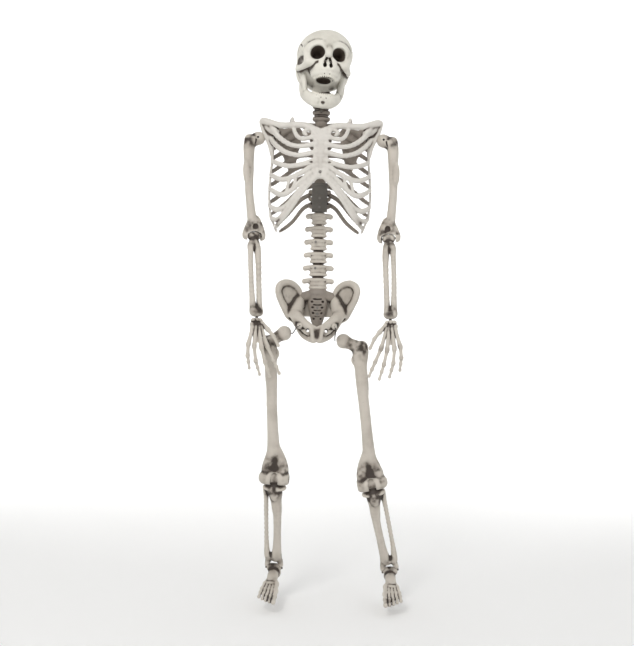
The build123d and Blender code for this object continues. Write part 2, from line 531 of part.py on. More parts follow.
def build_limbs(side):
    at = JOINTS[side]
    upper, lower, upper_length, lower_length = limb_frames(at["shoulder"], at["elbow"], at["wrist"])
    ball_cuts = [Pos(*at["shoulder"]) * tool for tool in shoulder_slot()]
    finish("humerus", side, cut(upper(humerus(upper_length)), ball_cuts))
    finish("shoulder_link", side, Pos(*at["shoulder"]) * shoulder_link())
    finish("shoulder_pin", side, Pos(*at["shoulder"]) * bar((0, -13, 0), (0, 13, 0), SHOULDER_PIN_R))
    finish("elbow_pin", side, lower(bar((-27, 0, 0), (27, 0, 0), ARM_PIN_R)))
    finish("forearm", side, lower(forearm(lower_length)))
    finish("wrist_peg", side, lower(bar((0, 0, -16 - lower_length), (0, 0, 24 - lower_length), WRIST_PEG_R)))
    finish("hand", side, lower(Pos(0, 0, -lower_length) * hand()))

    upper, lower, upper_length, lower_length = limb_frames(at["hip"], at["knee"], at["ankle"])
    head, ankle = at["hip"], at["ankle"]
    wire_hole = bar((head[0] - 40, 0, head[2]), (head[0] + 1.5, 0, head[2]), WIRE_R + PIN_FIT)
    finish("hip_wire", side, hip_link(head))
    finish("femur", side, cut(upper(femur(upper_length)), [wire_hole]))
    finish("knee_pin", side, lower(bar((-36, 0, 0), (36, 0, 0), LEG_PIN_R)))
    finish("shin", side, lower(shin(lower_length)))
    finish("ankle_pin", side, lower(bar((-26, 0, -lower_length), (26, 0, -lower_length), ARM_PIN_R)))
    across = lower.place.x_axis.direction
    sole = Vector(0, -sin(radians(FOOT_DROP)), cos(radians(FOOT_DROP)))
    finish("foot", side, Frame(ankle, across, sole - across * sole.dot(across))(foot()))


def build_body():
    keep("rib_cage_front", rib_cage_front())
    keep("rib_cage_rear", rib_cage_rear())
    keep("spine_cover", spine_cover())
    keep("breast_screw", screw(*BREAST_SCREW))
    keep("spine_screws", *[screw(*s) for s in SPINE_SCREWS])
    front, rear = lumbar()
    keep("lumbar_front", front)
    keep("lumbar_rear", rear)
    keep("lumbar_screws", *[screw(*s) for s in LUMBAR_SCREWS])
    keep("sacrum", sacrum())
    keep("sacrum_screws", *[screw(*s) for s in SACRUM_SCREWS])
    keep("pelvis", pelvis())
    keep("neck_pin", bar((-20, *NECK_PIN[1:]), (20, *NECK_PIN[1:]), ARM_PIN_R))
    front, rear = neck()
    keep("neck_front", front)
    keep("neck_rear", rear)
    keep("neck_screw", screw(*NECK_SCREW))
    keep("neck_peg", head_place(peg_shape()))
    face, rear = skull()
    keep("skull_face", head_place(face))
    keep("skull_rear", head_place(rear))
    keep("jaw_pins", *[head_place(p) for p in pair(bar((26, *JAW_PIN[1:]), (61, *JAW_PIN[1:]), ARM_PIN_R))])
    keep("mandible", head_place(mandible()))


def main():
    os.makedirs("parts", exist_ok=True)
    build_body()
    for side in SIDES:
        build_limbs(side)
    for name, shape in BODY.items():
        export_step(Pos(*HANG).inverse() * shape, f"parts/{name}.step")


if __name__ == "__main__":
    main()
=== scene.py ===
"""The hanging skeleton figure, sculpted bone by bone on its CAD frame, with an aged plastic finish and painted shade in
its hollows.

Bones are built up from rounded shapes in blocks of space, in millimetres, and then turned into meshes.
Torso shapes are in the figure's frame: x to its left, y to its back, z up from just below the toes. Limb shapes are in
the frame of their own bone: origin at the upper joint, x away from the body, y to the back, z up the bone.
"""

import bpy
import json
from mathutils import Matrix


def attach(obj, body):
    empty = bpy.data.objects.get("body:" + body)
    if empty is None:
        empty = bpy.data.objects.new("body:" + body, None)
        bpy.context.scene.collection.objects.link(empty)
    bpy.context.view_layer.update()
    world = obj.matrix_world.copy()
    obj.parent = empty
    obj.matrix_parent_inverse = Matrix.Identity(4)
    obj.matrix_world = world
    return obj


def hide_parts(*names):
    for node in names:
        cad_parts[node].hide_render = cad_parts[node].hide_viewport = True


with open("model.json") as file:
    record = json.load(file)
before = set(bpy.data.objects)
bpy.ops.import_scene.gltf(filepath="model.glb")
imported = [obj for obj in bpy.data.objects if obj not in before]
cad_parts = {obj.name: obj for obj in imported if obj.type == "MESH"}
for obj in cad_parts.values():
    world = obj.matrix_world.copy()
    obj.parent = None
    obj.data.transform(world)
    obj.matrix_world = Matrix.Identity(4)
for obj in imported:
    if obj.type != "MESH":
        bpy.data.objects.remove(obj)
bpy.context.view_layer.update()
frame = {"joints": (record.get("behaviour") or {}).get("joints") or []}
import json
import math

import bpy
import numpy as np
from mathutils import Matrix, Vector

MM = 0.001
HANG = np.array([0.0, 98.0, 1418.0])        # the row frame's origin, in the figure's frame
FINE = 1.0
FAR = 14.0                                  # distance, in mm, that stands for far from any surface
JOINTS = {j["name"]: j for j in frame["joints"]}
BOTH = (-1, 1)                              # the signs of x on the figure's right and left


# ---------------------------------------------------------------- sculpting
def arr(*values):
    return np.array(values, float)


def unit(v):
    v = np.asarray(v, float)
    return v / np.linalg.norm(v)


def smooth_line(points, count):
    """Points along a smooth curve through the given ones."""
    p = np.asarray(points, float)
    p = np.vstack([2 * p[0] - p[1], p, 2 * p[-1] - p[-2]])
    out = []
    spans = len(p) - 3
    for i in range(count + 1):
        u = i / count * spans
        k = min(int(u), spans - 1)
        t = u - k
        a, b, c, d = p[k:k + 4]
        square, cube = 2 * a - 5 * b + 4 * c - d, 3 * b - a - 3 * c + d
        out.append(0.5 * (2 * b + (c - a) * t + square * t ** 2 + cube * t ** 3))
    return np.array(out)


class Clay:
    """A block of space holding the distance to a surface made of rounded shapes."""

    def __init__(self, low, high, step):
        self.step = step * FINE
        self.low = np.asarray(low, float)
        count = np.ceil((np.asarray(high, float) - self.low) / self.step).astype(int) + 1
        self.axes = [(self.low[i] + self.step * np.arange(count[i])).astype(np.float32) for i in range(3)]
        self.d = np.full(count, FAR, np.float32)
        self.sign = 1

    def mirrored(self):
        """Makes the shapes of a loop's body twice: with x turned about, and then as given."""
        for self.sign in BOTH:
            yield self.sign
        self.sign = 1

    def put(self, v):
        return np.asarray(v, float) * (self.sign, 1, 1)

    def window(self, low, high):
        """The part of the block within these corners: where it is, and its points."""
        where = []
        for axis, lo, hi in zip(self.axes, low, high):
            a = int(np.searchsorted(axis, lo))
            b = int(np.searchsorted(axis, hi))
            where.append(slice(a, max(b, a)))
        where = tuple(where)
        x, y, z = (self.axes[i][where[i]] for i in range(3))
        return where, x[:, None, None], y[None, :, None], z[None, None, :]

    def mix(self, where, d, k, cut):
        """Adds or carves a distance, with a fillet of about k."""
        old = self.d[where]
        if cut:
            h = np.maximum(k - np.abs(old + d), 0) / k
            self.d[where] = np.maximum(old, -d) + h * h * k * 0.25
        else:
            h = np.maximum(k - np.abs(old - d), 0) / k
            self.d[where] = np.minimum(old, d) - h * h * k * 0.25

    def bar(self, p, q, r1, r2=None, k=3.0, cut=False, flat=None):
        """A round bar, or one made thinner along a direction: flat is that direction and how many times."""
        p, q = self.put(p), self.put(q)
        r2 = r1 if r2 is None else r2
        pad = max(r1, r2) + k + 2 * self.step
        where, x, y, z = self.window(np.minimum(p, q) - pad, np.maximum(p, q) + pad)
        if 0 in self.d[where].shape:
            return
        v = q - p
        vx, vy, vz = x - p[0], y - p[1], z - p[2]
        t = np.clip((vx * v[0] + vy * v[1] + vz * v[2]) / max(v @ v, 1e-9), 0, 1)
        ox, oy, oz = vx - t * v[0], vy - t * v[1], vz - t * v[2]
        radius = r1 + (r2 - r1) * t
        if flat is None:
            d = np.sqrt(ox * ox + oy * oy + oz * oz) - radius
        else:
            n, times = unit(self.put(flat[0])), flat[1]
            along = ox * n[0] + oy * n[1] + oz * n[2]
            rest2 = np.maximum(ox * ox + oy * oy + oz * oz - along * along, 0)
            wide = np.sqrt(rest2 + (along * times) ** 2)
            slope = np.sqrt(rest2 + (along * times * times) ** 2) / np.maximum(wide, 1e-6)
            d = (wide - radius) / np.maximum(slope, 1.0)
        self.mix(where, d.astype(np.float32), k, cut)

    def path(self, points, radii, k=3.0, count=None, cut=False, flat=None):
        """Bars along a smooth curve, whose radius changes smoothly too."""
        points = np.asarray(points, float)
        radii = np.full(len(points), radii, float) if np.isscalar(radii) else np.asarray(radii, float)
        count = count or 4 * (len(points) - 1)
        line = smooth_line(np.column_stack([points, radii]), count)
        for a, b in zip(line, line[1:]):
            self.bar(a[:3], b[:3], a[3], b[3], k, cut, flat)

    def ball(self, c, r, k=3.0, cut=False, turn=None):
        """A ball, or an ellipsoid with three radii, which turn may rotate."""
        c = self.put(c)
        r = np.full(3, r, float) if np.isscalar(r) else np.asarray(r, float)
        pad = (r.max() if turn is not None else r) + k + 2 * self.step
        where, x, y, z = self.window(c - pad, c + pad)
        if 0 in self.d[where].shape:
            return
        vx, vy, vz = x - c[0], y - c[1], z - c[2]
        if turn is not None:
            m = np.asarray(turn, float)
            vx, vy, vz = (m[0, i] * vx + m[1, i] * vy + m[2, i] * vz for i in range(3))
        a = np.sqrt((vx / r[0]) ** 2 + (vy / r[1]) ** 2 + (vz / r[2]) ** 2)
        b = np.sqrt((vx / r[0] ** 2) ** 2 + (vy / r[1] ** 2) ** 2 + (vz / r[2] ** 2) ** 2)
        d = a * (a - 1) / np.maximum(b, 1e-6)
        self.mix(where, d.astype(np.float32), k, cut)

    def box(self, low, high, r=1.0, k=2.0, cut=False):
        """A box with rounded edges, given by its corners."""
        p, q = self.put(low), self.put(high)
        low, high = np.minimum(p, q), np.maximum(p, q)
        where, x, y, z = self.window(low - k - 2 * self.step, high + k + 2 * self.step)
        if 0 in self.d[where].shape:
            return
        c, half = (low + high) / 2, (high - low) / 2 - r
        qx, qy, qz = abs(x - c[0]) - half[0], abs(y - c[1]) - half[1], abs(z - c[2]) - half[2]
        out = np.sqrt(np.maximum(qx, 0) ** 2 + np.maximum(qy, 0) ** 2 + np.maximum(qz, 0) ** 2)
        d = out + np.minimum(np.maximum(np.maximum(qx, qy), qz), 0) - r
        self.mix(where, d.astype(np.float32), k, cut)

    def plate(self, points, surface, thick, k=3.0):
        """A plate with this outline in front view, lying on the surface y = surface(x, z)."""
        points = np.asarray(points, float) * (self.sign, 1)
        low, high = points.min(0) - k - thick, points.max(0) + k + thick
        where, x, _, z = self.window((low[0], -999, low[1]), (high[0], 999, high[1]))
        y = self.axes[1][None, :, None]
        edge = polygon_distance(points, x[:, 0, 0], z[0, 0, :])[:, None, :]
        sx, e = self.sign * x, 0.5
        at = surface(sx, z)
        gx = (surface(sx + e, z) - surface(sx - e, z)) / (2 * e)
        gz = (surface(sx, z + e) - surface(sx, z - e)) / (2 * e)
        across = np.abs(y - at) / np.sqrt(1 + gx * gx + gz * gz)
        rim = np.maximum(edge + thick, 0)
        d = np.sqrt(rim * rim + across * across) - thick
        self.mix(where, np.minimum(d, FAR).astype(np.float32), k, cut=False)

    def keep_side(self, axis, at, above):
        """Cuts the clay off flat at a plane across one axis."""
        line = self.axes[axis] - at
        line = -line if above else line
        shape = [1, 1, 1]
        shape[axis] = -1
        self.d = np.maximum(self.d, line.reshape(shape))

    def copy(self):
        other = object.__new__(Clay)
        other.step, other.low, other.axes, other.d, other.sign = self.step, self.low, self.axes, self.d.copy(), 1
        return other


def polygon_distance(points, xs, zs):
    """Signed distance in front view from each (x, z) to an outline, negative inside."""
    x, z = xs[:, None], zs[None, :]
    best = np.full((len(xs), len(zs)), 1e9, np.float32)
    inside = np.zeros((len(xs), len(zs)), bool)
    for a, b in zip(points, np.roll(points, -1, 0)):
        e = b - a
        t = np.clip(((x - a[0]) * e[0] + (z - a[1]) * e[1]) / (e @ e), 0, 1)
        best = np.minimum(best, (x - a[0] - t * e[0]) ** 2 + (z - a[1] - t * e[1]) ** 2)
        if a[1] != b[1]:
            crosses = ((a[1] > z) != (b[1] > z)) & (x < a[0] + (z - a[1]) * e[0] / e[1])
            inside ^= crosses
    return np.where(inside, -1, 1) * np.sqrt(best)


def blur(a, reach):
    """Box blur along all three axes."""
    for axis in range(3):
        pad = [(0, 0)] * 3
        pad[axis] = (reach + 1, reach)
        total = np.cumsum(np.pad(a, pad, mode="edge"), axis=axis, dtype=np.float32)
        n = a.shape[axis]
        lead = [slice(None)] * 3
        tail = [slice(None)] * 3
        lead[axis], tail[axis] = slice(2 * reach + 1, 2 * reach + 1 + n), slice(0, n)
        a = (total[tuple(lead)] - total[tuple(tail)]) / (2 * reach + 1)
    return a


CORNERS = np.array([(i, j, k) for i in (0, 1) for j in (0, 1) for k in (0, 1)])


def between(f, value):
    """Mixes the values at a cell's eight corners by how near each is to the place f within the cell."""
    out = 0
    for x, y, z in CORNERS:
        out = out + np.abs(1 - x - f[:, 0]) * np.abs(1 - y - f[:, 1]) * np.abs(1 - z - f[:, 2]) * value(x, y, z)
    return out


def sample(a, g):
    """Values of a grid at fractional places."""
    i = np.clip(g.astype(int), 0, np.array(a.shape) - 2)
    return between(g - i, lambda x, y, z: a[i[:, 0] + x, i[:, 1] + y, i[:, 2] + z])


EDGES = [(a, b) for a in range(8) for b in range(a + 1, 8) if np.abs(CORNERS[a] - CORNERS[b]).sum() == 1]


def skin(clay):
    """The surface as points in mm, four-sided faces, and how deep in a hollow each point lies."""
    d = np.pad(clay.d, 1, constant_values=FAR)
    low = clay.low - clay.step
    inside = d < 0
    n = np.array(d.shape) - 1
    count = sum(inside[c[0]:c[0] + n[0], c[1]:c[1] + n[1], c[2]:c[2] + n[2]].astype(np.uint8) for c in CORNERS)
    cells = np.argwhere((count > 0) & (count < 8))
    number = np.full(n, -1, np.int32)
    number[tuple(cells.T)] = np.arange(len(cells))
    values = np.stack([d[cells[:, 0] + c[0], cells[:, 1] + c[1], cells[:, 2] + c[2]] for c in CORNERS], 1)
    total, hits = np.zeros((len(cells), 3)), np.zeros(len(cells))
    for a, b in EDGES:
        cross = (values[:, a] < 0) != (values[:, b] < 0)
        t = values[cross, a] / (values[cross, a] - values[cross, b])
        total[cross] += CORNERS[a] + t[:, None] * (CORNERS[b] - CORNERS[a])
        hits[cross] += 1
    grid = cells + total / hits[:, None]
    faces = []
    for axis in range(3):
        u, v = (axis + 1) % 3, (axis + 2) % 3
        first = [slice(None)] * 3
        second = [slice(None)] * 3
        first[axis], second[axis] = slice(0, -1), slice(1, None)
        flips = inside[tuple(first)] != inside[tuple(second)]
        at = np.argwhere(flips)
        at = at[(at[:, u] > 0) & (at[:, v] > 0) & (at[:, u] < n[u]) & (at[:, v] < n[v])]
        step_u, step_v = np.eye(3, dtype=int)[u], np.eye(3, dtype=int)[v]
        quad = [number[tuple((at - s).T)] for s in (step_u + step_v, step_v, 0 * step_u, step_u)]
        quad = np.stack(quad, 1)
        outward = inside[tuple(at.T)]
        quad[~outward] = quad[~outward][:, ::-1]
        faces.append(quad)
    faces = np.concatenate(faces)
    grid = relax(grid, faces, 2)
    # How closed in each point is, from the solid blurred over three reaches: painted shade in the hollows, standing
    # also for the plastic's dark antiquing wash there.
    solid = np.clip(0.5 - d / (2 * clay.step), 0, 1).astype(np.float32)
    reaches = [max(1, round(reach / clay.step)) for reach in (1.6, 4.5, 9.0)]
    tight, broad, deep = (sample(blur(blur(solid, reach), reach), grid) for reach in reaches)
    shade_and_wash = 2.6 * (tight - 0.485) + 2.0 * (broad - 0.45) + 2.4 * np.maximum(deep - 0.46, -0.02)
    return low + grid * clay.step, faces, shade_and_wash


def relax(points, faces, rounds):
    """Evens out the steps of the grid."""
    pairs = np.concatenate([faces[:, [0, 1]], faces[:, [1, 2]], faces[:, [2, 3]], faces[:, [3, 0]]])
    pairs = np.concatenate([pairs, pairs[:, ::-1]])
    degree = np.maximum(np.bincount(pairs[:, 0], minlength=len(points)), 1)
    for _ in range(rounds):
        mean = np.stack([np.bincount(pairs[:, 0], points[pairs[:, 1], i], len(points)) for i in range(3)], 1)
        points = points + 0.55 * (mean / degree[:, None] - points)
    return points


def rough(points, size, seed):
    """Smooth noise from -1 to 1 at each point."""
    g = points / size + 1000.5 + seed * 17.3
    i = np.floor(g).astype(np.int64)
    f = g - i

    def scatter(x, y, z):
        h = ((i[:, 0] + x) * 73856093) ^ ((i[:, 1] + y) * 19349663) ^ ((i[:, 2] + z) * 83492791)
        return ((h * 2654435761) & 0xFFFFFFFF) / 0xFFFFFFFF

    return 2 * between(f * f * (3 - 2 * f), scatter) - 1


# ---------------------------------------------------------------- finishes
def plain_material(name, color, roughness, metallic=0.0):
    material = bpy.data.materials.new(name)
    material.use_nodes = True
    shader = material.node_tree.nodes["Principled BSDF"]
    shader.inputs["Base Color"].default_value = (*color, 1)
    shader.inputs["Roughness"].default_value = roughness
    shader.inputs["Metallic"].default_value = metallic
    return material


def bone_material(name, clean, shade, stain_and_shade, amount, speckle=0.5):
    """Moulded plastic bone: a clean colour, broad blotches, painted shade in the hollows together with the plastic's
    dark antiquing wash, and dark pores.
    """
    material = bpy.data.materials.new(name)
    material.use_nodes = True
    tree = material.node_tree
    nodes, links = tree.nodes, tree.links
    shader = nodes["Principled BSDF"]

    def add(kind, **values):
        node = nodes.new(kind)
        for key, value in values.items():
            if hasattr(node, key):
                setattr(node, key, value)
            else:
                node.inputs[key.replace("_", " ")].default_value = value
        return node

    def noise(scale, detail, roughness):
        node = add("ShaderNodeTexNoise", Scale=scale, Detail=detail, Roughness=roughness)
        links.new(place.outputs["Object"], node.inputs["Vector"])
        return node.outputs["Fac"]

    def math_node(operation, a, b):
        node = add("ShaderNodeMath", operation=operation)
        for socket, value in zip(node.inputs, (a, b)):
            if isinstance(value, (int, float)):
                socket.default_value = value
            else:
                links.new(value, socket)
        return node.outputs[0]

    def ramp(value, low, high):
        node = add("ShaderNodeMapRange", interpolation_type="SMOOTHSTEP")
        node.inputs["From Min"].default_value = low
        node.inputs["From Max"].default_value = high
        links.new(value, node.inputs["Value"])
        return node.outputs["Result"]

    def blend(factor, a, b):
        node = add("ShaderNodeMix", data_type="RGBA")
        sockets = [s for s in node.inputs if s.type == "RGBA"]
        for socket, value in zip(sockets, (a, b)):
            if isinstance(value, tuple):
                socket.default_value = (*value, 1)
            else:
                links.new(value, socket)
        links.new(factor, node.inputs["Factor"])
        return [s for s in node.outputs if s.type == "RGBA"][0]

    place = nodes.new("ShaderNodeTexCoord")
    # The attribute holds painted shade in the hollows, together with the antiquing wash and extra darkening.
    shade_and_wash = nodes.new("ShaderNodeAttribute")
    shade_and_wash.attribute_name = "shade_and_wash"
    hollow = shade_and_wash.outputs["Fac"]
    broad = noise(14, 3, 0.55)
    medium = noise(70, 5, 0.62)
    fine = noise(320, 4, 0.6)
    # Painted shade: the hollows mix the clean colour towards the shade colour, along with broad random blotches.
    tone = ramp(math_node("ADD", math_node("MULTIPLY", hollow, 0.9), math_node("MULTIPLY", broad, 0.9)), 0.3, 0.95)
    color = blend(tone, clean, shade)
    # The stain colour gathers in the hollows, as painted shade and antiquing wash, and in scattered pores.
    deep = math_node("ADD", hollow, math_node("MULTIPLY", math_node("SUBTRACT", medium, 0.5), 0.55))
    deep = ramp(deep, 0.08, 0.50)
    pores = ramp(fine, 0.60, 0.78)
    patch = ramp(medium, 0.50, 0.70)
    pores = math_node("MULTIPLY", math_node("MULTIPLY", pores, patch), speckle)
    mask = math_node("MINIMUM", math_node("ADD", math_node("MULTIPLY", deep, amount), pores), 0.96)
    color = blend(mask, color, stain_and_shade)
    links.new(color, shader.inputs["Base Color"])
    gloss = ramp(medium, 0.3, 0.7)
    links.new(math_node("ADD", 0.50, math_node("MULTIPLY", gloss, 0.16)), shader.inputs["Roughness"])
    height = math_node("ADD", math_node("MULTIPLY", fine, 0.30), medium)
    bump = add("ShaderNodeBump")
    bump.inputs["Strength"].default_value = 0.30
    bump.inputs["Distance"].default_value = 0.0009
    links.new(height, bump.inputs["Height"])
    links.new(bump.outputs["Normal"], shader.inputs["Normal"])
    shader.inputs["IOR"].default_value = 1.46
    return material


# The skull, chest and limb bone colours grow darker downwards: partly the plastic's own tone, partly painted light that
# is brighter at the top.
SKULL_BONE = bone_material("skull bone", (0.74, 0.715, 0.645), (0.47, 0.445, 0.385), (0.050, 0.034, 0.024), 1.0, 0.45)
CHEST_BONE = bone_material("chest bone", (0.66, 0.63, 0.585), (0.37, 0.335, 0.295), (0.060, 0.042, 0.032), 1.0, 0.6)
LIMB_BONE = bone_material("limb bone", (0.57, 0.525, 0.465), (0.285, 0.245, 0.205), (0.036, 0.025, 0.019), 1.0, 1.0)
# A darker copy of the bone for the parts that sit behind or under others (rear shell, neck, sacrum): painted shade.
SHADED_INNER_BONE = bone_material("inner bone in painted shade", (0.29, 0.255, 0.22), (0.150, 0.125, 0.103), (0.030, 0.021, 0.016), 1.0, 0.9)
TOOTH_BONE = bone_material("tooth", (0.78, 0.75, 0.67), (0.58, 0.54, 0.46), (0.045, 0.030, 0.022), 1.0, 0.1)
DARK = plain_material("dark plastic", (0.028, 0.022, 0.018), 0.5)
STEEL = plain_material("dull steel", (0.24, 0.225, 0.21), 0.45, 0.85)
WIRE = plain_material("wire", (0.10, 0.095, 0.09), 0.4, 0.7)
COVER = bone_material("cover plate", (0.150, 0.140, 0.125), (0.085, 0.078, 0.068), (0.028, 0.022, 0.018), 0.9, 0.5)
GREY_STEEL = plain_material("pin ends", (0.16, 0.14, 0.12), 0.5, 0.5)


# ---------------------------------------------------------------- pieces
def near(points, spots):
    """How close each point is to any of these spots, from 0 to 1; a spot is a place and a reach."""
    best = np.zeros(len(points))
    for place, reach in spots:
        away = np.linalg.norm(points - arr(*place), axis=1) / reach
        best = np.maximum(best, np.clip(1.15 - away, 0, 1))
    return best


def make_piece(name, clay, material, slot, body, nodes=(), place=None, mirror=False, grain=0.30, seed=0, extra_dark=None):
    """Turns clay into a piece of the figure, standing for CAD nodes and riding on a body.

    Extra darkening, from 0 to 1, may be given at points of the piece; it adds to the painted shade of the hollows.
    """
    # The hollows get painted shade, with the extra darkening added where given.
    points, faces, shade_and_wash = skin(clay)
    if extra_dark is not None:
        patches = 0.5 + 0.5 * rough(points, 9.0, seed + 5)
        shade_and_wash = shade_and_wash + extra_dark(points) * (0.18 + 0.62 * patches)
    normal = point_normals(points, faces)
    lumps = grain * rough(points, 5.5, seed) + 0.9 * grain * rough(points, 15.0, seed + 3)
    points = points + normal * lumps[:, None]
    if place is not None:
        points = points @ place[:3, :3].T + place[:3, 3]
    if mirror:
        points = points * arr(-1, 1, 1)
        faces = faces[:, ::-1]
    points = (points - HANG) * MM
    mesh = bpy.data.meshes.new(name)
    mesh.vertices.add(len(points))
    mesh.vertices.foreach_set("co", points.astype(np.float32).ravel())
    mesh.loops.add(faces.size)
    mesh.loops.foreach_set("vertex_index", faces.astype(np.int32).ravel())
    mesh.polygons.add(len(faces))
    mesh.polygons.foreach_set("loop_start", np.arange(0, faces.size, 4, dtype=np.int32))
    mesh.update(calc_edges=True)
    mesh.shade_smooth()
    mesh.attributes.new("shade_and_wash", "FLOAT", "POINT").data.foreach_set("value", shade_and_wash.astype(np.float32))
    mesh.materials.append(material)
    piece = bpy.data.objects.new(name, mesh)
    bpy.context.scene.collection.objects.link(piece)
    if nodes:
        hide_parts(*nodes)
    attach(piece, body)
    return piece


def point_normals(points, faces):
    across = np.cross(points[faces[:, 2]] - points[faces[:, 0]], points[faces[:, 3]] - points[faces[:, 1]])
    normal = np.zeros_like(points)
    for corner in range(4):
        for i in range(3):
            normal[:, i] += np.bincount(faces[:, corner], across[:, i], len(points))
    return normal / np.maximum(np.linalg.norm(normal, axis=1), 1e-9)[:, None]


def frame_matrix(origin, across, up):
    """A bone's place in the figure's frame, from its upper joint and two directions."""
    z = unit(up)
    x = unit(across - z * (across @ z))
    m = np.eye(4)
    m[:3, 0], m[:3, 1], m[:3, 2], m[:3, 3] = x, np.cross(z, x), z, origin
    return m


def joint_at(name):
    return np.array(JOINTS[name]["pos_m"]) / MM + HANG


def joint_axis(name):
    return unit(JOINTS[name]["axis"])


def to_left(v, side):
    """A place or direction of the right side, mirrored to the left."""
    return v * arr(1 if side == "left" else -1, 1, 1)


def make_halves(names, clay, split_y, gap, material, slot, body, nodes, **finish):
    """Cuts clay at a seam across y into a front piece and a rear piece."""
    front, rear = clay.copy(), clay
    front.keep_side(1, split_y - gap, above=False)
    rear.keep_side(1, split_y + gap, above=True)
    for name, half, node in zip(names, (front, rear), nodes):
        make_piece(name, half, material, slot, body, [node], **finish)


# ---------------------------------------------------------------- head
HEAD_PIVOT = joint_at("head_turn")
HEAD_UP = joint_axis("head_turn")
HEAD_LEFT = joint_axis("jaw_open")
SKULL_PLACE = frame_matrix(HEAD_PIVOT, HEAD_LEFT, HEAD_UP)
JAW_PIVOT = (np.linalg.inv(SKULL_PLACE) @ np.append(joint_at("jaw_open"), 1))[:3]
JAW_OPEN = math.radians(22)
SKULL_SPLIT_Y = 15


def skull_clay():
    c = Clay((-87, -116, -40), (87, 80, 142), 1.35)
    c.ball((0, -14, 74), (82.5, 89, 61), k=1)
    c.ball((0, -44, 82), (70, 65, 53), k=10)
    c.ball((0, 10, 34), (80, 66, 60), k=14)
    c.ball((0, 30, 24), (60, 46, 46), k=12)
    c.bar((0, 4, -22), (0, 2, 30), 26, 34, k=14)
    c.path([(-42, -66, 62), (0, -72, 66), (42, -66, 62)], [26, 27, 26], k=8)
    c.ball((0, -66, 40), (56, 34, 40), k=10)
    for _ in c.mirrored():
        c.path([(10, -96, 75), (30, -96, 77), (48, -87, 72), (58, -72, 58)], [3.5, 4, 4, 4.5], k=12)
        c.path([(58, -72, 62), (58, -75, 44), (54, -80, 28)], [5, 6, 9], k=9)
        c.ball((47, -80, 24), (18, 15, 11), k=10)
        c.path([(56, -76, 23), (65, -58, 20), (71, -38, 21), (74, -14, 26), (75, 6, 32)],
               [8.5, 7, 6, 6, 6], k=6, flat=((1, 0, 0), 1.3))
        c.path([(64, 8, 28), (60, 16, 8), (55, 17, -6)], [12, 11, 6], k=8)
        c.path([(70, -54, 42), (77, -32, 44), (79, -10, 46)], [4, 5, 2], k=10, cut=True,
               flat=((1, 0, 0), 1.8))
        c.path([(66, -62, 66), (74, -50, 82), (79, -36, 88), (81, -26, 72), (80, -22, 54)],
               [0.8, 1.1, 1.2, 1.1, 0.8], k=3, cut=True)
    arch = [(-34, -56), (-31, -77), (-20, -93), (0, -99), (20, -93), (31, -77), (34, -56)]
    c.path([(x, y, -1) for x, y in arch], 7.5, k=6, flat=((0, 0, 1), 0.8))
    c.path([(x * 0.96, y + 3, 12) for x, y in arch], 9.5, k=10)
    c.ball((0, -70, 16), (36, 30, 20), k=10)
    c.path([(0, -94, 68), (0, -99, 56), (0, -105, 47)], [8.5, 7, 5], k=9)
    c.path([(-15, -92, 38), (-18, -94, 26), (-15, -97, 12), (0, -101, 6), (15, -97, 12), (18, -94, 26),
            (15, -92, 38)], [5, 5, 5, 4, 5, 5, 5], k=7)
    for s in c.mirrored():
        c.ball((33, -100, 52), (22, 28, 19), k=2.5, cut=True, turn=turn_y(s * 14))
        c.ball((31, -96, 53), (19, 28, 18), k=2.5, cut=True)
        c.ball((29, -76, 50), (14, 22, 13), k=5, cut=True)
        c.path([(8.8, -112, 13), (8.4, -112, 20), (5.0, -112, 32), (2.6, -112, 42)],
               [5.6, 6.0, 4.6, 2.6], k=1.5, cut=True)
        c.path([(8.6, -103, 14), (7.6, -96, 22), (4.6, -96, 34), (2.4, -100, 41)],
               [6.2, 7, 5, 2.6], k=1.5, cut=True)
        c.path([(7, -92, 20), (6, -78, 28)], [7, 7], k=3, cut=True)
        for i in range(6):
            t = math.radians(12 + 24 * i)
            x, y = 34 * math.sin(t), -102 + 43 * (1 - math.cos(t))
            c.bar((x * 1.06, y - 3, -9), (x * 1.06, y - 3, 3), 1.0, 0.5, k=2.5, cut=True)
    c.path([(0, -101, 8), (0, -101, 22), (0, -99, 36)], [1.8, 1.5, 1.3], k=1.5)
    c.ball((0, -54, -9), (27, 41, 9.5), k=4, cut=True)
    c.bar((0, 4, -46), (0, 4, 13), 12, 11, k=3, cut=True)
    return c


def turn_y(degrees):
    a = math.radians(degrees)
    return arr([math.cos(a), 0, math.sin(a)], [0, 1, 0], [-math.sin(a), 0, math.cos(a)])


def tooth_arch(half_width, front, depth, count):
    """Places round half an oval, with the way that each tooth faces."""
    turns = [math.radians(-80 + 160 * (i + 0.5) / count) for i in range(count)]
    return [(half_width * math.sin(t), front + depth * (1 - math.cos(t)), t) for t in turns]


def teeth_clay(half_width, front, depth, gum, edge, count):
    """A row of teeth between two heights, as rounded pegs that nearly touch."""
    low, high = min(gum, edge), max(gum, edge)
    c = Clay((-half_width - 6, front - 6, low - 5), (half_width + 6, front + depth + 8, high + 5), 0.62)
    for x, y, t in tooth_arch(half_width, front, depth, count):
        wide = 3.3 if abs(t) < 0.6 else 4.3
        thick = 2.8 if abs(t) < 0.6 else 4.4
        turn = arr([math.cos(t), -math.sin(t), 0], [math.sin(t), math.cos(t), 0], [0, 0, 1])
        c.ball((x, y, (gum + edge) / 2), (wide, thick, abs(edge - gum) * 0.60), k=0.5, turn=turn)
    return c


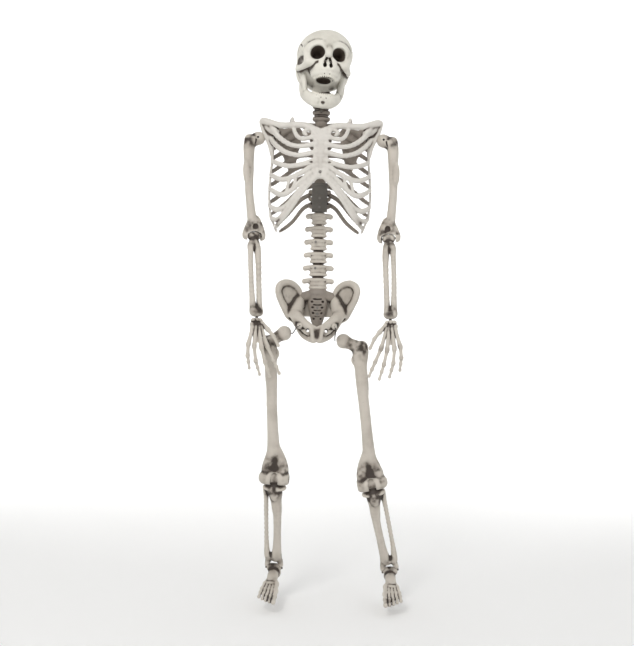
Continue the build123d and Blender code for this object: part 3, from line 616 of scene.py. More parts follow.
def jaw_clay():
    """The lower jaw, closed, in the skull's frame."""
    y, z = JAW_PIVOT[1], JAW_PIVOT[2]
    c = Clay((-72, -100, -76), (72, 16, 34), 1.25)
    for _ in c.mirrored():
        c.path([(55, y, z), (57, y - 4, 10), (58, -14, -8), (56, -22, -28), (50, -32, -39)],
               [6, 9, 15, 18, 16], k=5, flat=((1, 0.25, 0), 2.6))
        c.path([(56, -28, 16), (56.5, -30, 0), (52, -36, -22)], [4, 11, 14], k=6, flat=((1, 0, 0), 2.3))
        c.path([(51, -32, -37), (45, -50, -43), (35, -67, -47), (23, -80, -49), (0, -85, -50)],
               [15, 15, 15.5, 16, 16], k=5, flat=((0.9, -0.5, 0), 2.0))
        c.ball((20, -83, -60), (12, 8, 6.5), k=7)
        c.ball((31, -81, -45), (1.8, 4, 1.8), k=3, cut=True)
    c.ball((0, -88, -59), (15, 7, 8), k=8)
    arch = [(-35, -48), (-31, -67), (-20, -82), (0, -88), (20, -82), (31, -67), (35, -48)]
    c.path([(x, y, -38) for x, y in arch], 6.6, k=5)
    c.path([(0, -40, -30), (0, -56, -42)], [24, 15], k=4, cut=True)
    for _ in c.mirrored():
        for i in range(5):
            t = math.radians(13 + 25 * i)
            x, y = 32 * math.sin(t), -95 + 40 * (1 - math.cos(t))
            c.bar((x * 1.05, y - 1.5, -33), (x * 1.05, y - 1.5, -42), 0.8, 0.4, k=2.5, cut=True)
    return c


def jaw_swing():
    """Turns the closed jaw open about its pins."""
    m = np.array(Matrix.Rotation(JAW_OPEN, 4, "X"))
    m[:3, 3] = JAW_PIVOT * arr(0, 1, 1) - m[:3, :3] @ (JAW_PIVOT * arr(0, 1, 1))
    return SKULL_PLACE @ m


def make_head():
    make_halves(("face_shell", "brain_case"), skull_clay(), SKULL_SPLIT_Y, 0.35, SKULL_BONE, "skull_plastic", "skull",
                ("skull_face", "skull_rear"), place=SKULL_PLACE, seed=1)
    upper = teeth_clay(32, -102, 43, -3, -17, 14)
    make_piece("upper_teeth", upper, TOOTH_BONE, "skull_plastic", "skull", (), SKULL_PLACE, grain=0.05, seed=2)
    make_piece("jaw", jaw_clay(), SKULL_BONE, "skull_plastic", "jaw", ["mandible"], jaw_swing(), seed=3)
    lower = teeth_clay(30, -92, 39, -38, -26, 14)
    make_piece("lower_teeth", lower, TOOTH_BONE, "skull_plastic", "jaw", (), jaw_swing(), grain=0.05, seed=4)


# ---------------------------------------------------------------- neck
NECK_Y = 14


def neck_clay():
    c = Clay((-30, -16, 1402), (32, 44, 1548), 1.2)
    tilt = HEAD_UP / HEAD_UP[2]
    for i in range(6):
        z = 1437 + 18.2 * i
        mid = arr(0, NECK_Y, z) + tilt * arr(1, 1, 0) * max(z - 1480, 0)
        c.ball(mid, (25.5, 23.5, 8.5), k=3)
        c.ball(mid + arr(0, 0, 9), (21, 19, 6), k=3)
        for s in BOTH:
            c.ball(mid + arr(s * 21, -4, 3), (5, 7, 4.5), k=3)
    c.bar((0, NECK_Y, 1430), (0, NECK_Y, 1500), 18, 18, k=3)
    c.box((-14, 5, 1404), (14, 23, 1440), 6, k=3)
    c.bar((0, -14, 1458), (0, -7.5, 1458), 4.2, k=1, cut=True)
    return c


def make_neck():
    make_halves(("neck_front_half", "neck_rear_half"), neck_clay(), NECK_Y, 0.3, SHADED_INNER_BONE, "rib_plastic", "neck",
                ("neck_front", "neck_rear"), seed=5)


# ---------------------------------------------------------------- rib cage
CAGE_Z = arr(1100, 1150, 1205, 1262, 1314, 1354, 1400, 1434)
CAGE_HALF_WIDTH = arr(128, 148, 153, 150, 145, 146, 160, 174)
CAGE_HALF_DEPTH = arr(76, 85, 88, 87, 82, 72, 53, 33)


def cage_depth(x, z, inset=3.5):
    """How far in front of or behind y = 0 the middle of the cage's wall is."""
    w = np.interp(z, CAGE_Z, CAGE_HALF_WIDTH) - inset
    d = np.interp(z, CAGE_Z, CAGE_HALF_DEPTH) - inset
    return d * np.sqrt(np.maximum(1 - (x / w) ** 2, 0.0004))


def on_cage(points, towards, inset=3.5):
    """Points given by x and z, laid on the front or rear of the cage, ending at the seam."""
    out = []
    for x, z in points:
        w = float(np.interp(z, CAGE_Z, CAGE_HALF_WIDTH)) - inset
        x = min(x, w)
        out.append((x, towards * float(cage_depth(x, z, inset)), z))
    return np.array(out)


def rib(c, points, towards, radii, k=4, flat=1.55, inset=3.5):
    """A rib that lies on the cage, thinner through the wall than along it."""
    line = smooth_line(np.column_stack([points, np.interp(np.linspace(0, 1, len(points)),
                                                          np.linspace(0, 1, len(radii)), radii)]), 16)
    at = on_cage(line[:, :2], towards, inset)
    for a, b, ra, rb in zip(at, at[1:], line[:, 2], line[1:, 2]):
        mid = (a + b) / 2
        w = np.interp(mid[2], CAGE_Z, CAGE_HALF_WIDTH)
        d = np.interp(mid[2], CAGE_Z, CAGE_HALF_DEPTH)
        normal = unit(arr(mid[0] / w ** 2, mid[1] / d ** 2, 0))
        c.bar(a, b, ra, rb, k, flat=(normal, flat))


FRONT_RIBS = [
    ([(20, 1374), (46, 1366), (64, 1370), (76, 1388), (81, 1412), (84, 1426)], [6, 5.2, 5.2, 5, 4.5]),
    ([(18, 1351), (40, 1345), (66, 1344), (95, 1353), (124, 1376), (146, 1403), (160, 1424)],
     [7, 6.2, 6, 6.5, 7.5, 8, 7]),
    ([(18, 1326), (40, 1320), (66, 1317), (98, 1326), (122, 1343), (142, 1366), (154, 1388)],
     [7, 6.4, 6.2, 6.8, 7.4, 7.4, 6]),
    ([(16, 1302), (36, 1294), (62, 1288), (90, 1286), (116, 1293), (136, 1304), (150, 1318)], [7.5, 6.6, 6.4, 6.6, 6]),
    ([(14, 1287), (36, 1276), (60, 1262), (86, 1251), (110, 1248), (132, 1257), (152, 1274)],
     [7.5, 6.4, 6.4, 6.8, 6]),
    ([(12, 1274), (34, 1259), (58, 1238), (84, 1214), (106, 1204), (130, 1212), (157, 1236)],
     [7.5, 6.4, 6.6, 7.2, 6]),
    ([(12, 1262), (34, 1243), (56, 1218), (80, 1188), (104, 1166), (124, 1162), (140, 1170), (156, 1185)],
     [7.5, 6.6, 6.8, 7.2, 5.6]),
    ([(66, 1205), (84, 1176), (104, 1148), (122, 1134), (138, 1138), (151, 1148)], [6.5, 6.4, 6.2, 5.4]),
    ([(88, 1170), (104, 1142), (118, 1122), (130, 1112)], [6, 5.8, 5.6]),
]
REAR_RIBS = [
    ([(14, 1424), (60, 1424), (108, 1402), (148, 1366)], [6, 5.6, 5.2]),
    ([(14, 1399), (64, 1399), (114, 1374), (149, 1338)], [6, 5.8, 5.4]),
    ([(14, 1371), (66, 1369), (114, 1343), (149, 1313)], [6.4, 6.2, 5.6]),
    ([(14, 1342), (66, 1337), (116, 1305), (153, 1271)], [6.4, 6.2, 5.6]),
    ([(14, 1312), (66, 1304), (116, 1267), (156, 1232)], [6.4, 6.2, 5.6]),
    ([(14, 1283), (64, 1268), (112, 1223), (154, 1183)], [6.4, 6.2, 5.6]),
    ([(14, 1254), (62, 1234), (108, 1188), (151, 1147)], [6.2, 6.0, 5.4]),
    ([(14, 1232), (58, 1206), (98, 1157), (135, 1112)], [6.2, 5.8, 5.2]),
    ([(14, 1200), (48, 1182), (82, 1137), (116, 1106)], [5.8, 5.4, 5.0]),
]
SHOULDER_BLADE = [(60, 1402), (90, 1412), (128, 1414), (158, 1426), (150, 1398), (128, 1366), (112, 1330),
                  (98, 1296), (88, 1288), (82, 1298), (72, 1340)]


def seam_rail(c, side):
    """The thin flange down the flank where the two shells meet."""
    z = np.linspace(1104, 1430, 22)
    w = np.interp(z, CAGE_Z, CAGE_HALF_WIDTH) - 3.4
    pts = np.column_stack([w, np.full(len(z), 2.6 * side), z])
    for a, b in zip(pts, pts[1:]):
        c.bar(a, b, 3.4, k=2, flat=((0, 1, 0), 1.3))


def shoulder_wing(c, side):
    """The thick corner of the shell that carries the arm."""
    y = 4.0 * side
    c.path([(176, y, 1424), (168, y, 1400), (156, y, 1376), (147, y, 1352), (143, y, 1326)],
           [6, 6.5, 7, 6.5, 4.5], k=5, flat=((0, 1, 0), 1.5))
    c.path([(150, y * 2, 1416), (162, y * 1.5, 1420), (174, y, 1427)], [8, 8, 6], k=6)
    c.ball((148, y, 1378), (10, 8, 11), k=5)
    c.path([(128, y * 5.5, 1392), (144, y * 3.5, 1398), (160, y * 2, 1412)], [6, 8, 7], k=8)


def cage_front_clay():
    c = Clay((-184, -94, 1094), (184, 6, 1442), 1.75)
    for _ in c.mirrored():
        for points, radii in FRONT_RIBS:
            rib(c, points, -1, radii)
        rib(c, [(12, 1254), (30, 1236), (52, 1208), (74, 1176), (92, 1150), (108, 1130)], -1, [7, 6, 5])
        rib(c, [(84, 1255), (92, 1232), (96, 1212)], -1, [3.2, 3.0], flat=1.2)
        rib(c, [(66, 1264), (72, 1240), (78, 1220)], -1, [3.0, 2.8], flat=1.2)
        seam_rail(c, -1)
        shoulder_wing(c, -1)
        c.path([(14, -39, 1392), (34, -42, 1403), (58, -43, 1409), (88, -37, 1409),
                (120, -29, 1410), (148, -18, 1418), (170, -8, 1427)],
               [9, 8.5, 6.6, 6.4, 7, 8, 7], k=7)
        c.path([(34, -46, 1398), (50, -48, 1388), (42, -52, 1378)], [4, 3.4, 4], k=5)
        c.ball((85, -14, 1430), (5.5, 9, 8), k=4)
        c.path([(150, -12, 1418), (142, -22, 1404), (132, -30, 1392)], [6, 5, 4.5], k=6)
    c.plate([(-31, 1399), (-12, 1404), (0, 1399), (12, 1404), (31, 1399), (29, 1378), (22, 1362), (20, 1330),
             (22, 1300), (24, 1276), (17, 1256), (6, 1248), (-6, 1248), (-17, 1256), (-24, 1276), (-22, 1300),
             (-20, 1330), (-22, 1362), (-29, 1378)], lambda x, z: -cage_depth(x, z, 4.5), 4.2, k=6)
    for z in (1351, 1326, 1302, 1287):
        for _ in c.mirrored():
            c.ball((27, -cage_depth(27, z) - 4, z + 9), (5, 5, 3.2), k=4, cut=True)
    c.bar((0, -96, 1268), (0, -84.5, 1268), 4.4, k=1, cut=True)
    return c


def spine_column(c):
    """The vertebrae of the chest, with side and back processes."""
    half = 15
    for i in range(12):
        z = 1180 + 22.2 * i
        c.ball((0, 66, z), (half + 1.5, 17, 9.5), k=3)
        c.ball((0, 66, z + 11), (half - 2, 15, 5), k=3)
        for _ in c.mirrored():
            c.path([(10, 70, z + 2), (20, 74, z + 5), (29, 76, z + 8)], [6, 5, 5], k=4)
        c.path([(0, 82, z), (0, 92, z - 6), (0, 97, z - 12)], [5, 3.6, 3.2], k=4, flat=((1, 0, 0), 1.4))
    c.box((-17, 50, 1168), (17, 80, 1430), 5, k=3)
    c.box((-12.5, 40, 1150), (12.5, 72, 1248), 1, k=1, cut=True)


def cage_rear_clay():
    c = Clay((-184, -6, 1094), (184, 112, 1442), 1.9)
    for _ in c.mirrored():
        for points, radii in REAR_RIBS:
            rib(c, points, 1, radii)
        seam_rail(c, 1)
        shoulder_wing(c, 1)
        c.plate(SHOULDER_BLADE, lambda x, z: cage_depth(x, z, 1.5), 2.6, k=5)
        c.path([(70, 62, 1368), (96, 52, 1380), (126, 36, 1396), (152, 18, 1416), (170, 8, 1430)],
               [3.5, 5, 5.5, 6.5, 6.5], k=6)
        c.path([(62, 52, 1402), (66, 64, 1372), (78, 76, 1320), (90, 74, 1292)], [3.4, 3.6, 3.8, 4.2],
               k=5)
        c.path([(60, 44, 1408), (80, 30, 1420), (88, 10, 1434)], [4, 4.5, 4.8], k=5)
        c.path([(20, 30, 1424), (54, 30, 1426), (84, 14, 1430)], [2.2, 2.0, 2.4], k=3)
        c.box((15.2, 12, 1403), (20, 54, 1421), 2, k=2)
    spine_column(c)
    c.bar((-3.3, 98, 1418), (3.3, 98, 1418), 9.6, k=1)
    c.box((-3.4, 80, 1409), (3.4, 98, 1426), 1, k=3)
    c.bar((-9, 98, 1418), (9, 98, 1418), 4.0, k=0.5, cut=True)
    return c


def flank_darkening(points):
    """Darker along the seam of the flanks and on the tips of the lowest ribs."""
    edge = np.interp(points[:, 2], CAGE_Z, CAGE_HALF_WIDTH) - 4
    seam = np.clip(1.2 - np.abs(np.abs(points[:, 0]) - edge) / 6.0, 0, 1)
    seam = seam * np.clip(1.3 - np.abs(points[:, 1]) / 9, 0, 1)
    tips = near(points, [((s * 118, y, 1112), 34) for s in BOTH for y in (-40, 30)])
    return np.maximum(1.6 * seam, tips)


def make_cage():
    make_piece("front_ribs_and_breastbone", cage_front_clay(), CHEST_BONE, "rib_plastic", "torso", ["rib_cage_front"],
               seed=7, extra_dark=flank_darkening)
    make_piece("rear_ribs_and_shoulder_blades", cage_rear_clay(), SHADED_INNER_BONE, "rib_plastic", "torso",
               ["rib_cage_rear"], seed=8, extra_dark=flank_darkening)


# ---------------------------------------------------------------- lower spine and pelvis
LUMBAR_SPLIT_Y = 46


def lumbar_clay():
    c = Clay((-50, 14, 906), (50, 92, 1252), 1.3)
    for i in range(6):
        z = 952.5 + 39 * i
        share = i / 5
        y = 39.5 + 13.5 * share
        wide = 28.5 - 4.5 * share
        c.ball((0, y, z), (wide - 2.5, 16.2, 21), k=3)
        for lift in (-12.5, 11.5):
            c.ball((0, y, z + lift), (wide, 17.8, 6.6), k=5)
        reach = 42 - 7 * share
        for _ in c.mirrored():
            c.path([((wide - 8), y + 2, z + 6), ((wide + 2), y, z + 8), (reach, y + 1, z + 7)],
                   [7.5, 6, 6], k=4)
            c.ball(((reach - 1), y + 1, z + 6), (5.5, 5.5, 7), k=3)
            c.path([(8, y + 16, z + 2), (13, y + 22, z - 10)], [6, 5], k=4)
            c.ball(((wide + 1), y - 6, z - 3), (4, 8, 4.5), k=4, cut=True)
        c.box((-3.2, y + 12, z - 9), (3.2, y + 34 - 5 * share, z + 8), 2.5, k=4)
    c.box((-11.6, 50.4, 1150), (11.6, 73.6, 1249), 1, k=1)
    c.box((-9.6, 31, 909), (9.6, 47, 940), 1, k=1)
    for z in (1076, 998):
        c.bar((-9, 10, z), (-9, 25.5, z), 3.9, k=0.6, cut=True)
    return c


def sacrum_clay():
    c = Clay((-60, 14, 810), (60, 60, 938), 1.3)
    c.path([(0, 37, 924), (0, 36, 905), (0, 36, 880), (0, 36, 852), (0, 33, 832), (0, 29, 819)],
           [26, 30, 25, 19, 12, 6], k=5, flat=((0, 1, 0), 1.85))
    c.ball((0, 37, 925), (27, 15, 7), k=5)
    for _ in c.mirrored():
        c.path([(14, 37, 914), (34, 38, 914), (48, 40, 906), (44, 41, 886)], [13, 12, 10, 7], k=7,
               flat=((0, 1, 0), 1.25))
        for i in range(4):
            c.ball(((16 - 1.6 * i), 21 + i, 898 - 17 * i), (3.6, 5.5, 2.8), k=4, cut=True)
    for i in range(4):
        c.path([(-12, 20 + i, 906 - 17 * i), (0, 19 + i, 905 - 17 * i), (12, 20 + i, 906 - 17 * i)], 1.0, k=3,
               cut=True)
    for z in (880, 862):
        c.bar((0, 10, z), (0, 24.2, z), 3.9, k=0.6, cut=True)
    return c


def wing_y(x, z):
    """The hip wing's surface: it opens forwards and outwards, and is dished."""
    u = (x - 46) / 74.0
    v = (z - 850) / 105.0
    return 38 - 66 * u + 16 * u * (1 - u) * 4 * 0.5 + 9 * v * (1 - v) * 4 * 0.5


WING = [(45, 896), (48, 916), (58, 938), (76, 953), (96, 956), (111, 947), (119, 930), (116, 910), (107, 892),
        (97, 874), (86, 858), (70, 848), (54, 852), (46, 872)]


def pelvis_clay():
    c = Clay((-124, -52, 770), (124, 64, 962), 1.4)
    for _ in c.mirrored():
        c.plate(WING, wing_y, 4.8, k=4)
        crest = [(48, 916), (60, 939), (78, 952), (97, 954), (112, 944), (117.5, 928)]
        c.path([(x, wing_y(x, z), z) for x, z in crest], [2.8, 3.2, 3.6, 3.8, 4.0, 3.6], k=12, count=14)
        c.path([(x, wing_y(x, z), z) for x, z in [(117, 926), (111, 904), (101, 884), (89, 864), (76, 850)]],
               [3.4, 3.4, 4.2, 6, 10], k=12, count=12)
        c.path([(52, 36, 902), (60, 24, 880), (66, 4, 856)], [8, 10, 15], k=16)
        c.ball((62, -2, 848), (19, 20, 18), k=10)
        c.ball((81, -2, 838), (13, 13, 13), k=4, cut=True)
        c.path([(58, -8, 852), (46, -20, 842), (30, -34, 829), (11, -42, 815)], [12, 10, 9, 8.5], k=7)
        c.path([(9, -42, 818), (8, -41, 800), (8, -38, 785)], [9, 8, 7.5], k=6)
        c.path([(56, 4, 838), (47, 12, 818), (38, 8, 802)], [13, 10.5, 9.5], k=8)
        c.path([(38, 8, 800), (25, -10, 791), (10, -33, 785)], [9, 7.5, 7.5], k=7)
        c.path([(42, -8, 826), (26, -24, 810)], [11, 10], k=8, flat=((0.45, 0.75, 0), 1.8))
        c.path([(27, -50, 815), (27, 20, 806)], 4.5, k=3, cut=True)
        c.path([(50, -34, 826), (50, 0, 826), (50, 26, 826)], 6.8, k=6)
        c.bar((50, -60, 826), (50, 40, 826), 1.7, k=0.3, cut=True)
    c.box((-48, 46, 853), (48, 55.5, 901), 3, k=3)
    c.box((-9.5, -45.5, 784), (9.5, -33, 817), 4, k=4)
    c.bar((0, -60, 780), (0, -60, 826), 15.2, k=3, cut=True)
    return c


def make_lower_torso():
    make_halves(("lower_spine_front_half", "lower_spine_rear_half"), lumbar_clay(), LUMBAR_SPLIT_Y, 0.3, LIMB_BONE,
                "limb_plastic", "torso", ("lumbar_front", "lumbar_rear"), seed=9)
    make_piece("sacrum_piece", sacrum_clay(), SHADED_INNER_BONE, "limb_plastic", "torso", ["sacrum"], seed=10)
    make_piece("hip_bones", pelvis_clay(), LIMB_BONE, "limb_plastic", "torso", ["pelvis"], seed=11)


# ---------------------------------------------------------------- limbs
HUMERUS, FOREARM, FEMUR, SHIN = 290, 250, 424, 300
FOOT_DROP = math.radians(12)


def limb_places(side):
    """Where each limb bone's own frame lies, all in left-hand coordinates."""
    def at(name):
        return to_left(joint_at(name + "_" + side), side)

    def across(name):
        axis = joint_axis(name + "_" + side)
        return -axis if side == "left" else to_left(axis, side)

    shoulder, elbow, wrist = at("shoulder_swing"), at("elbow"), at("wrist_turn")
    hip, knee, ankle = at("hip_swing"), at("knee"), at("ankle")
    arm, leg = across("elbow"), -across("knee")
    sole = arr(0, -math.sin(FOOT_DROP), math.cos(FOOT_DROP))
    return {
        "upper_arm": frame_matrix(shoulder, arm, shoulder - elbow),
        "forearm": frame_matrix(elbow, arm, elbow - wrist),
        "hand": frame_matrix(wrist, arm, elbow - wrist),
        "thigh": frame_matrix(hip, leg, hip - knee),
        "shin": frame_matrix(knee, leg, knee - ankle),
        "foot": frame_matrix(ankle, leg, sole),
    }


def humerus_clay(shoulder_axis):
    n = HUMERUS
    c = Clay((-36, -26, -n - 16), (46, 26, 26), 1.35)
    c.ball((0, 0, 0), 19.5, k=1)
    c.path([(4, 0, -2), (16, 0, -9), (25, 0, -20)], [16.5, 15, 14], k=5)
    c.ball((29, -3, -5), (13.5, 13, 13), k=6)
    c.ball((20, -13, -12), (8, 7, 11), k=6)
    c.bar((12, -17, -8), (14, -17, -44), 2.2, 2.0, k=3, cut=True)
    c.path([(27, 0, -14), (27.5, -1, -38), (26, 0, -62), (23, 0, -100), (21.5, 0, -150), (16, 0, -192),
            (10.5, 0, -226), (5, 0, 40 - n)], [14.5, 14, 12.6, 11.2, 10.6, 10.6, 11.2, 12.5], k=6)
    c.path([(35, -5, -76), (34, -6, -104), (31, -5, -130)], [4.5, 6, 3.5], k=9)
    for _ in c.mirrored():
        c.path([(3, 0, 44 - n), (13, 0, 27 - n), (18.5, 0, 12 - n)], [11, 10, 9.5], k=8)
        c.bar((12.2, 0, -n), (22.5, 0, -n), 12.6, 12, k=4)
        c.ball((26, 0, 6 - n), (7.5, 8.5, 8.5), k=6)
        c.path([(26, 0, 8 - n), (20, 0, 28 - n), (9, 0, 58 - n)], [5.5, 4, 3], k=7)
        c.bar((24, 0, -n), (30, 0, -n), 4.4, k=1, cut=True)
    c.ball((0, 0, 25 - n), (15, 11, 15), k=6)
    c.box((-10.4, -30, -n - 20), (10.4, 30, -n), 1, k=0.5, cut=True)
    c.bar((-10.4, 0, -n), (10.4, 0, -n), 15.6, k=0.5, cut=True)
    c.ball((0, -13, 27 - n), (7, 5, 7), k=6, cut=True)
    c.ball((0, 13, 27 - n), (7, 5, 8), k=6, cut=True)
    slot = arr(*shoulder_axis)
    c.bar(slot * -8, slot * -26, 3.4, k=0.6, cut=True)
    c.bar(slot * 8, slot * 26, 3.4, k=0.6, cut=True)
    return c


def forearm_clay():
    n = FOREARM
    c = Clay((-26, -20, -n - 8), (28, 20, 18), 1.3)
    c.bar((-6.5, 0, 0), (6.5, 0, 0), 12.6, k=1)
    c.bar((0, 0, 0), (0, 0, -20), 9, k=4, flat=((0, 1, 0), 1.1))
    c.path([(0, 0, -14), (-5, 0, -26), (-9.5, 0, -44), (-11, 0, -80), (-10, 0, -150), (-9, 0, -206),
            (-8.5, 0, 15 - n)], [10.5, 10, 8.8, 7.8, 7.2, 7.2, 9], k=5)
    c.path([(3, 0, -18), (9, 0, -30), (11.5, 0, -46), (13, -1, -90), (13, -1, -140), (11.5, 0, -196), (10, 0, 15 - n)],
           [9.5, 9, 7, 6.4, 6.6, 7.4, 9.6], k=5)
    c.ball((10, 0, -29), (9, 9, 5), k=3)
    c.ball((-8, 0, -24), (7, 9, 7), k=4)
    c.path([(-9, 0, 17 - n), (0, 0, 14 - n), (10, 0, 17 - n)], [9, 8.4, 9.4], k=6)
    c.bar((-17, 0, 25 - n), (-12, -7, 25 - n), 1.2, k=2, cut=True)
    c.bar((0, 0, -n + 8), (0, 0, -n + 24), 4.3, k=0.3, cut=True)
    return c


FINGERS = [
    [(-10, -2, -26), (-15, -2, -40), (-29, 2, -84), (-48, 8, -122), (-67, 18, -158)],
    [(-4, -2, -27), (-6, -2, -42), (-11, 0, -90), (-22, 6, -130), (-37, 17, -168)],
    [(5, -2, -27), (6, -2, -42), (10, 1, -87), (5, 8, -127), (-8, 18, -163)],
    [(12, -1, -24), (17, 0, -38), (27, 3, -81), (28, 9, -112), (22, 18, -145)],
]
THUMB = [(-13, -2, -16), (-20, -2, -22), (-32, -5, -37), (-46, -8, -56), (-58, -10, -84)]


def phalanx(c, a, b, thin, knob, k=2.5):
    """One finger bone: a waist between two knuckles."""
    a, b = arr(*a), arr(*b)
    c.path([a, a + (b - a) * 0.22, a + (b - a) * 0.5, a + (b - a) * 0.8, b], [knob, thin * 1.1, thin, thin * 1.1, knob],
           k=k)


def hand_clay():
    c = Clay((-76, -22, -178), (42, 30, 6), 1.1)
    for x, y, z, r in ((-9, 0, -8.5, 8), (1, 0, -8, 8.5), (10.5, 0, -9, 8), (-13, -1, -20, 8), (-4, 0, -21, 8),
                       (5, 0, -21, 8), (14, 0, -20, 7.5)):
        c.ball((x, y, z), (r, r * 0.98, r * 0.86), k=1.6)
    for points in FINGERS:
        phalanx(c, points[0], points[2], 4.7, 6.9)
        mid = 0.5 * (arr(*points[3]) + arr(*points[4]))
        phalanx(c, points[2], points[3], 4.4, 6.6, k=1.2)
        phalanx(c, points[3], mid, 3.9, 5.8, k=1.1)
        phalanx(c, mid, points[4], 3.2, 4.6, k=1.0)
        c.ball(points[4], (3.8, 3.4, 4.2), k=2)
    phalanx(c, THUMB[0], THUMB[2], 4.9, 6.6)
    phalanx(c, THUMB[2], THUMB[3], 4.4, 6.0, k=1.6)
    phalanx(c, THUMB[3], THUMB[4], 3.8, 4.6, k=1.4)
    c.box((-11, -1.6, -74), (12, 1.6, -30), 1.4, k=3)
    return c


def femur_clay():
    n = FEMUR
    c = Clay((-42, -28, -n - 26), (72, 28, 26), 1.65)
    c.ball((0, 0, 0), 21.8, k=1)
    c.ball((-20, 0, 0), (4, 6, 6), k=3, cut=True)
    c.path([(6, 0, -3), (20, 0, -13), (36, 0, -24)], [14.5, 13, 16], k=7)
    c.ball((52, 4, -24), (14.5, 14, 15), k=7)
    c.path([(52, 4, -30), (46, 3, -52), (38, 2, -76)], [14, 14.5, 13], k=8)
    c.ball((20, 6, -62), (9, 10, 14), k=10)
    c.path([(38, 0, -30), (37, 1, -66), (32, 0, -110), (27, -2, -150), (22, -4, -210), (16.5, -2, -268), (12, 0, -310),
            (7, 0, 70 - n)], [15, 16.2, 15.2, 14.2, 13.8, 13.6, 14.4, 17.5], k=8)
    c.path([(44, 6, -88), (40, 10, -140), (30, 10, -190)], [3.5, 5, 3.5], k=9)
    for s in BOTH:
        c.path([(s * 3 + 3, 0, 76 - n), (s * 15 + 1, 0, 46 - n), (s * 23, 0, 18 - n)], [15, 15, 14.5], k=10)
        c.bar((s * 13, 0, -n), (s * 28, 0, -n), 20.2, 19.5, k=5)
        c.ball((s * 32, 2, 3 - n), (7.5, 14, 14), k=6)
        c.ball((s * 20, 6, -3 - n), (10, 16, 15), k=5)
        c.bar((s * 34, 0, -n), (s * 42, 0, -n), 5, k=2, cut=True)
    c.ball((0, 0, 34 - n), (24, 17, 22), k=8)
    c.box((-10.6, -40, -n - 30), (10.6, 40, -n), 1, k=0.5, cut=True)
    c.bar((-10.6, 0, -n), (10.6, 0, -n), 18.4, k=0.5, cut=True)
    c.ball((0, -22, 30 - n), (9, 6, 12), k=8, cut=True)
    c.ball((0, 22, 28 - n), (10, 7, 12), k=8, cut=True)
    return c


def shin_clay():
    n = SHIN
    c = Clay((-40, -26, -n - 16), (44, 28, 20), 1.45)
    c.bar((-6.8, 0, 0), (6.8, 0, 0), 15.6, k=1)
    c.bar((0, 0, -2), (0, 0, -26), 9, k=4)
    for _ in c.mirrored():
        c.ball((17, 0, -30), (18, 19, 6.8), k=5)
    c.path([(0, 0, -34), (-3, 0, -52), (-5, 0, -74), (-8, -1.5, -108)], [21, 16.5, 12.5, 10.8], k=7)
    c.ball((-1, -15, -50), (8, 7, 12), k=8)
    c.path([(-5, 0, -70), (-9, -2, -112), (-9.5, -1, -160), (-9, 0, -210), (-8, 0, 60 - n), (-6, 0, 36 - n)],
           [12, 10.4, 9.8, 9.8, 10.8, 13.5], k=7)
    c.path([(-11, -9, -84), (-13, -9, -130), (-12, -7, -190)], [2.4, 2.6, 2.2], k=6)
    c.path([(25, 5, -38), (25.5, 6, -60), (25.5, 6, -110), (24.5, 5, -170), (23, 2, -226), (20, 0, 36 - n)],
           [8.6, 6.2, 5.6, 5.4, 6.4, 9], k=5)
    c.ball((25, 5, -36), (9, 9, 8), k=4)
    c.bar((-10, 0, 38 - n), (13, 0, 37 - n), 11.6, k=6)
    for _ in c.mirrored():
        c.path([(14, 0, 34 - n), (19, 0, 20 - n), (20.5, 0, 2 - n)], [9.5, 8, 8.5], k=5,
               flat=((1, 0, 0), 1.4))
        c.ball((20.5, 0, -n), (6.6, 12, 12), k=4)
        c.bar((25, 0, -n), (32, 0, -n), 3.6, k=1, cut=True)
    c.box((-14.1, -30, -n - 18), (14.1, 30, -n), 1, k=0.5, cut=True)
    c.bar((-14.1, 0, -n), (14.1, 0, -n), 15.4, k=0.5, cut=True)
    return c


def foot_clay():
    c = Clay((-34, -170, -56), (40, 46, 18), 1.35)
    c.bar((-9.5, 0, 0), (9.5, 0, 0), 12.8, k=1)
    c.path([(0, 2, -4), (0, 12, -18), (0, 24, -29)], [12.5, 14.5, 15.5], k=6)
    c.ball((0, 28, -32), (14.5, 13.5, 13), k=5)
    c.path([(0, -2, -9), (0, -22, -15), (1, -44, -23)], [12, 13.5, 12.5], k=6)
    c.path([(0, 8, -24), (2, -20, -27), (2, -44, -28)], [12, 12.5, 12], k=6)
    c.ball((-9, -46, -24), (10.5, 12, 10), k=4)
    c.ball((11, -44, -27), (11, 12, 9), k=4)
    c.ball((0, -58, -25), (17, 9, 8.5), k=4)
    for i, (reach, r) in enumerate(((152, 7.6), (149, 6.1), (143, 5.9), (135, 5.7), (126, 5.6))):
        x = -17 + 9.2 * i
        knuckle = (x * 1.12, -93 + 2.0 * i, -29)
        middle = (x * 1.2, -reach + (24 if i else 30), -30)
        phalanx(c, (x * 0.9, -52, -25), knuckle, r * 0.80, r * 1.08, k=2.6)
        phalanx(c, knuckle, middle, r * 0.76, r * 1.02, k=1.6)
        phalanx(c, middle, (x * 1.25, -reach + 2, -33), r * 0.70, r * 0.88, k=1.4)
    c.box((-15, -94, -31.5), (19, -56, -26.5), 2, k=3)
    return c


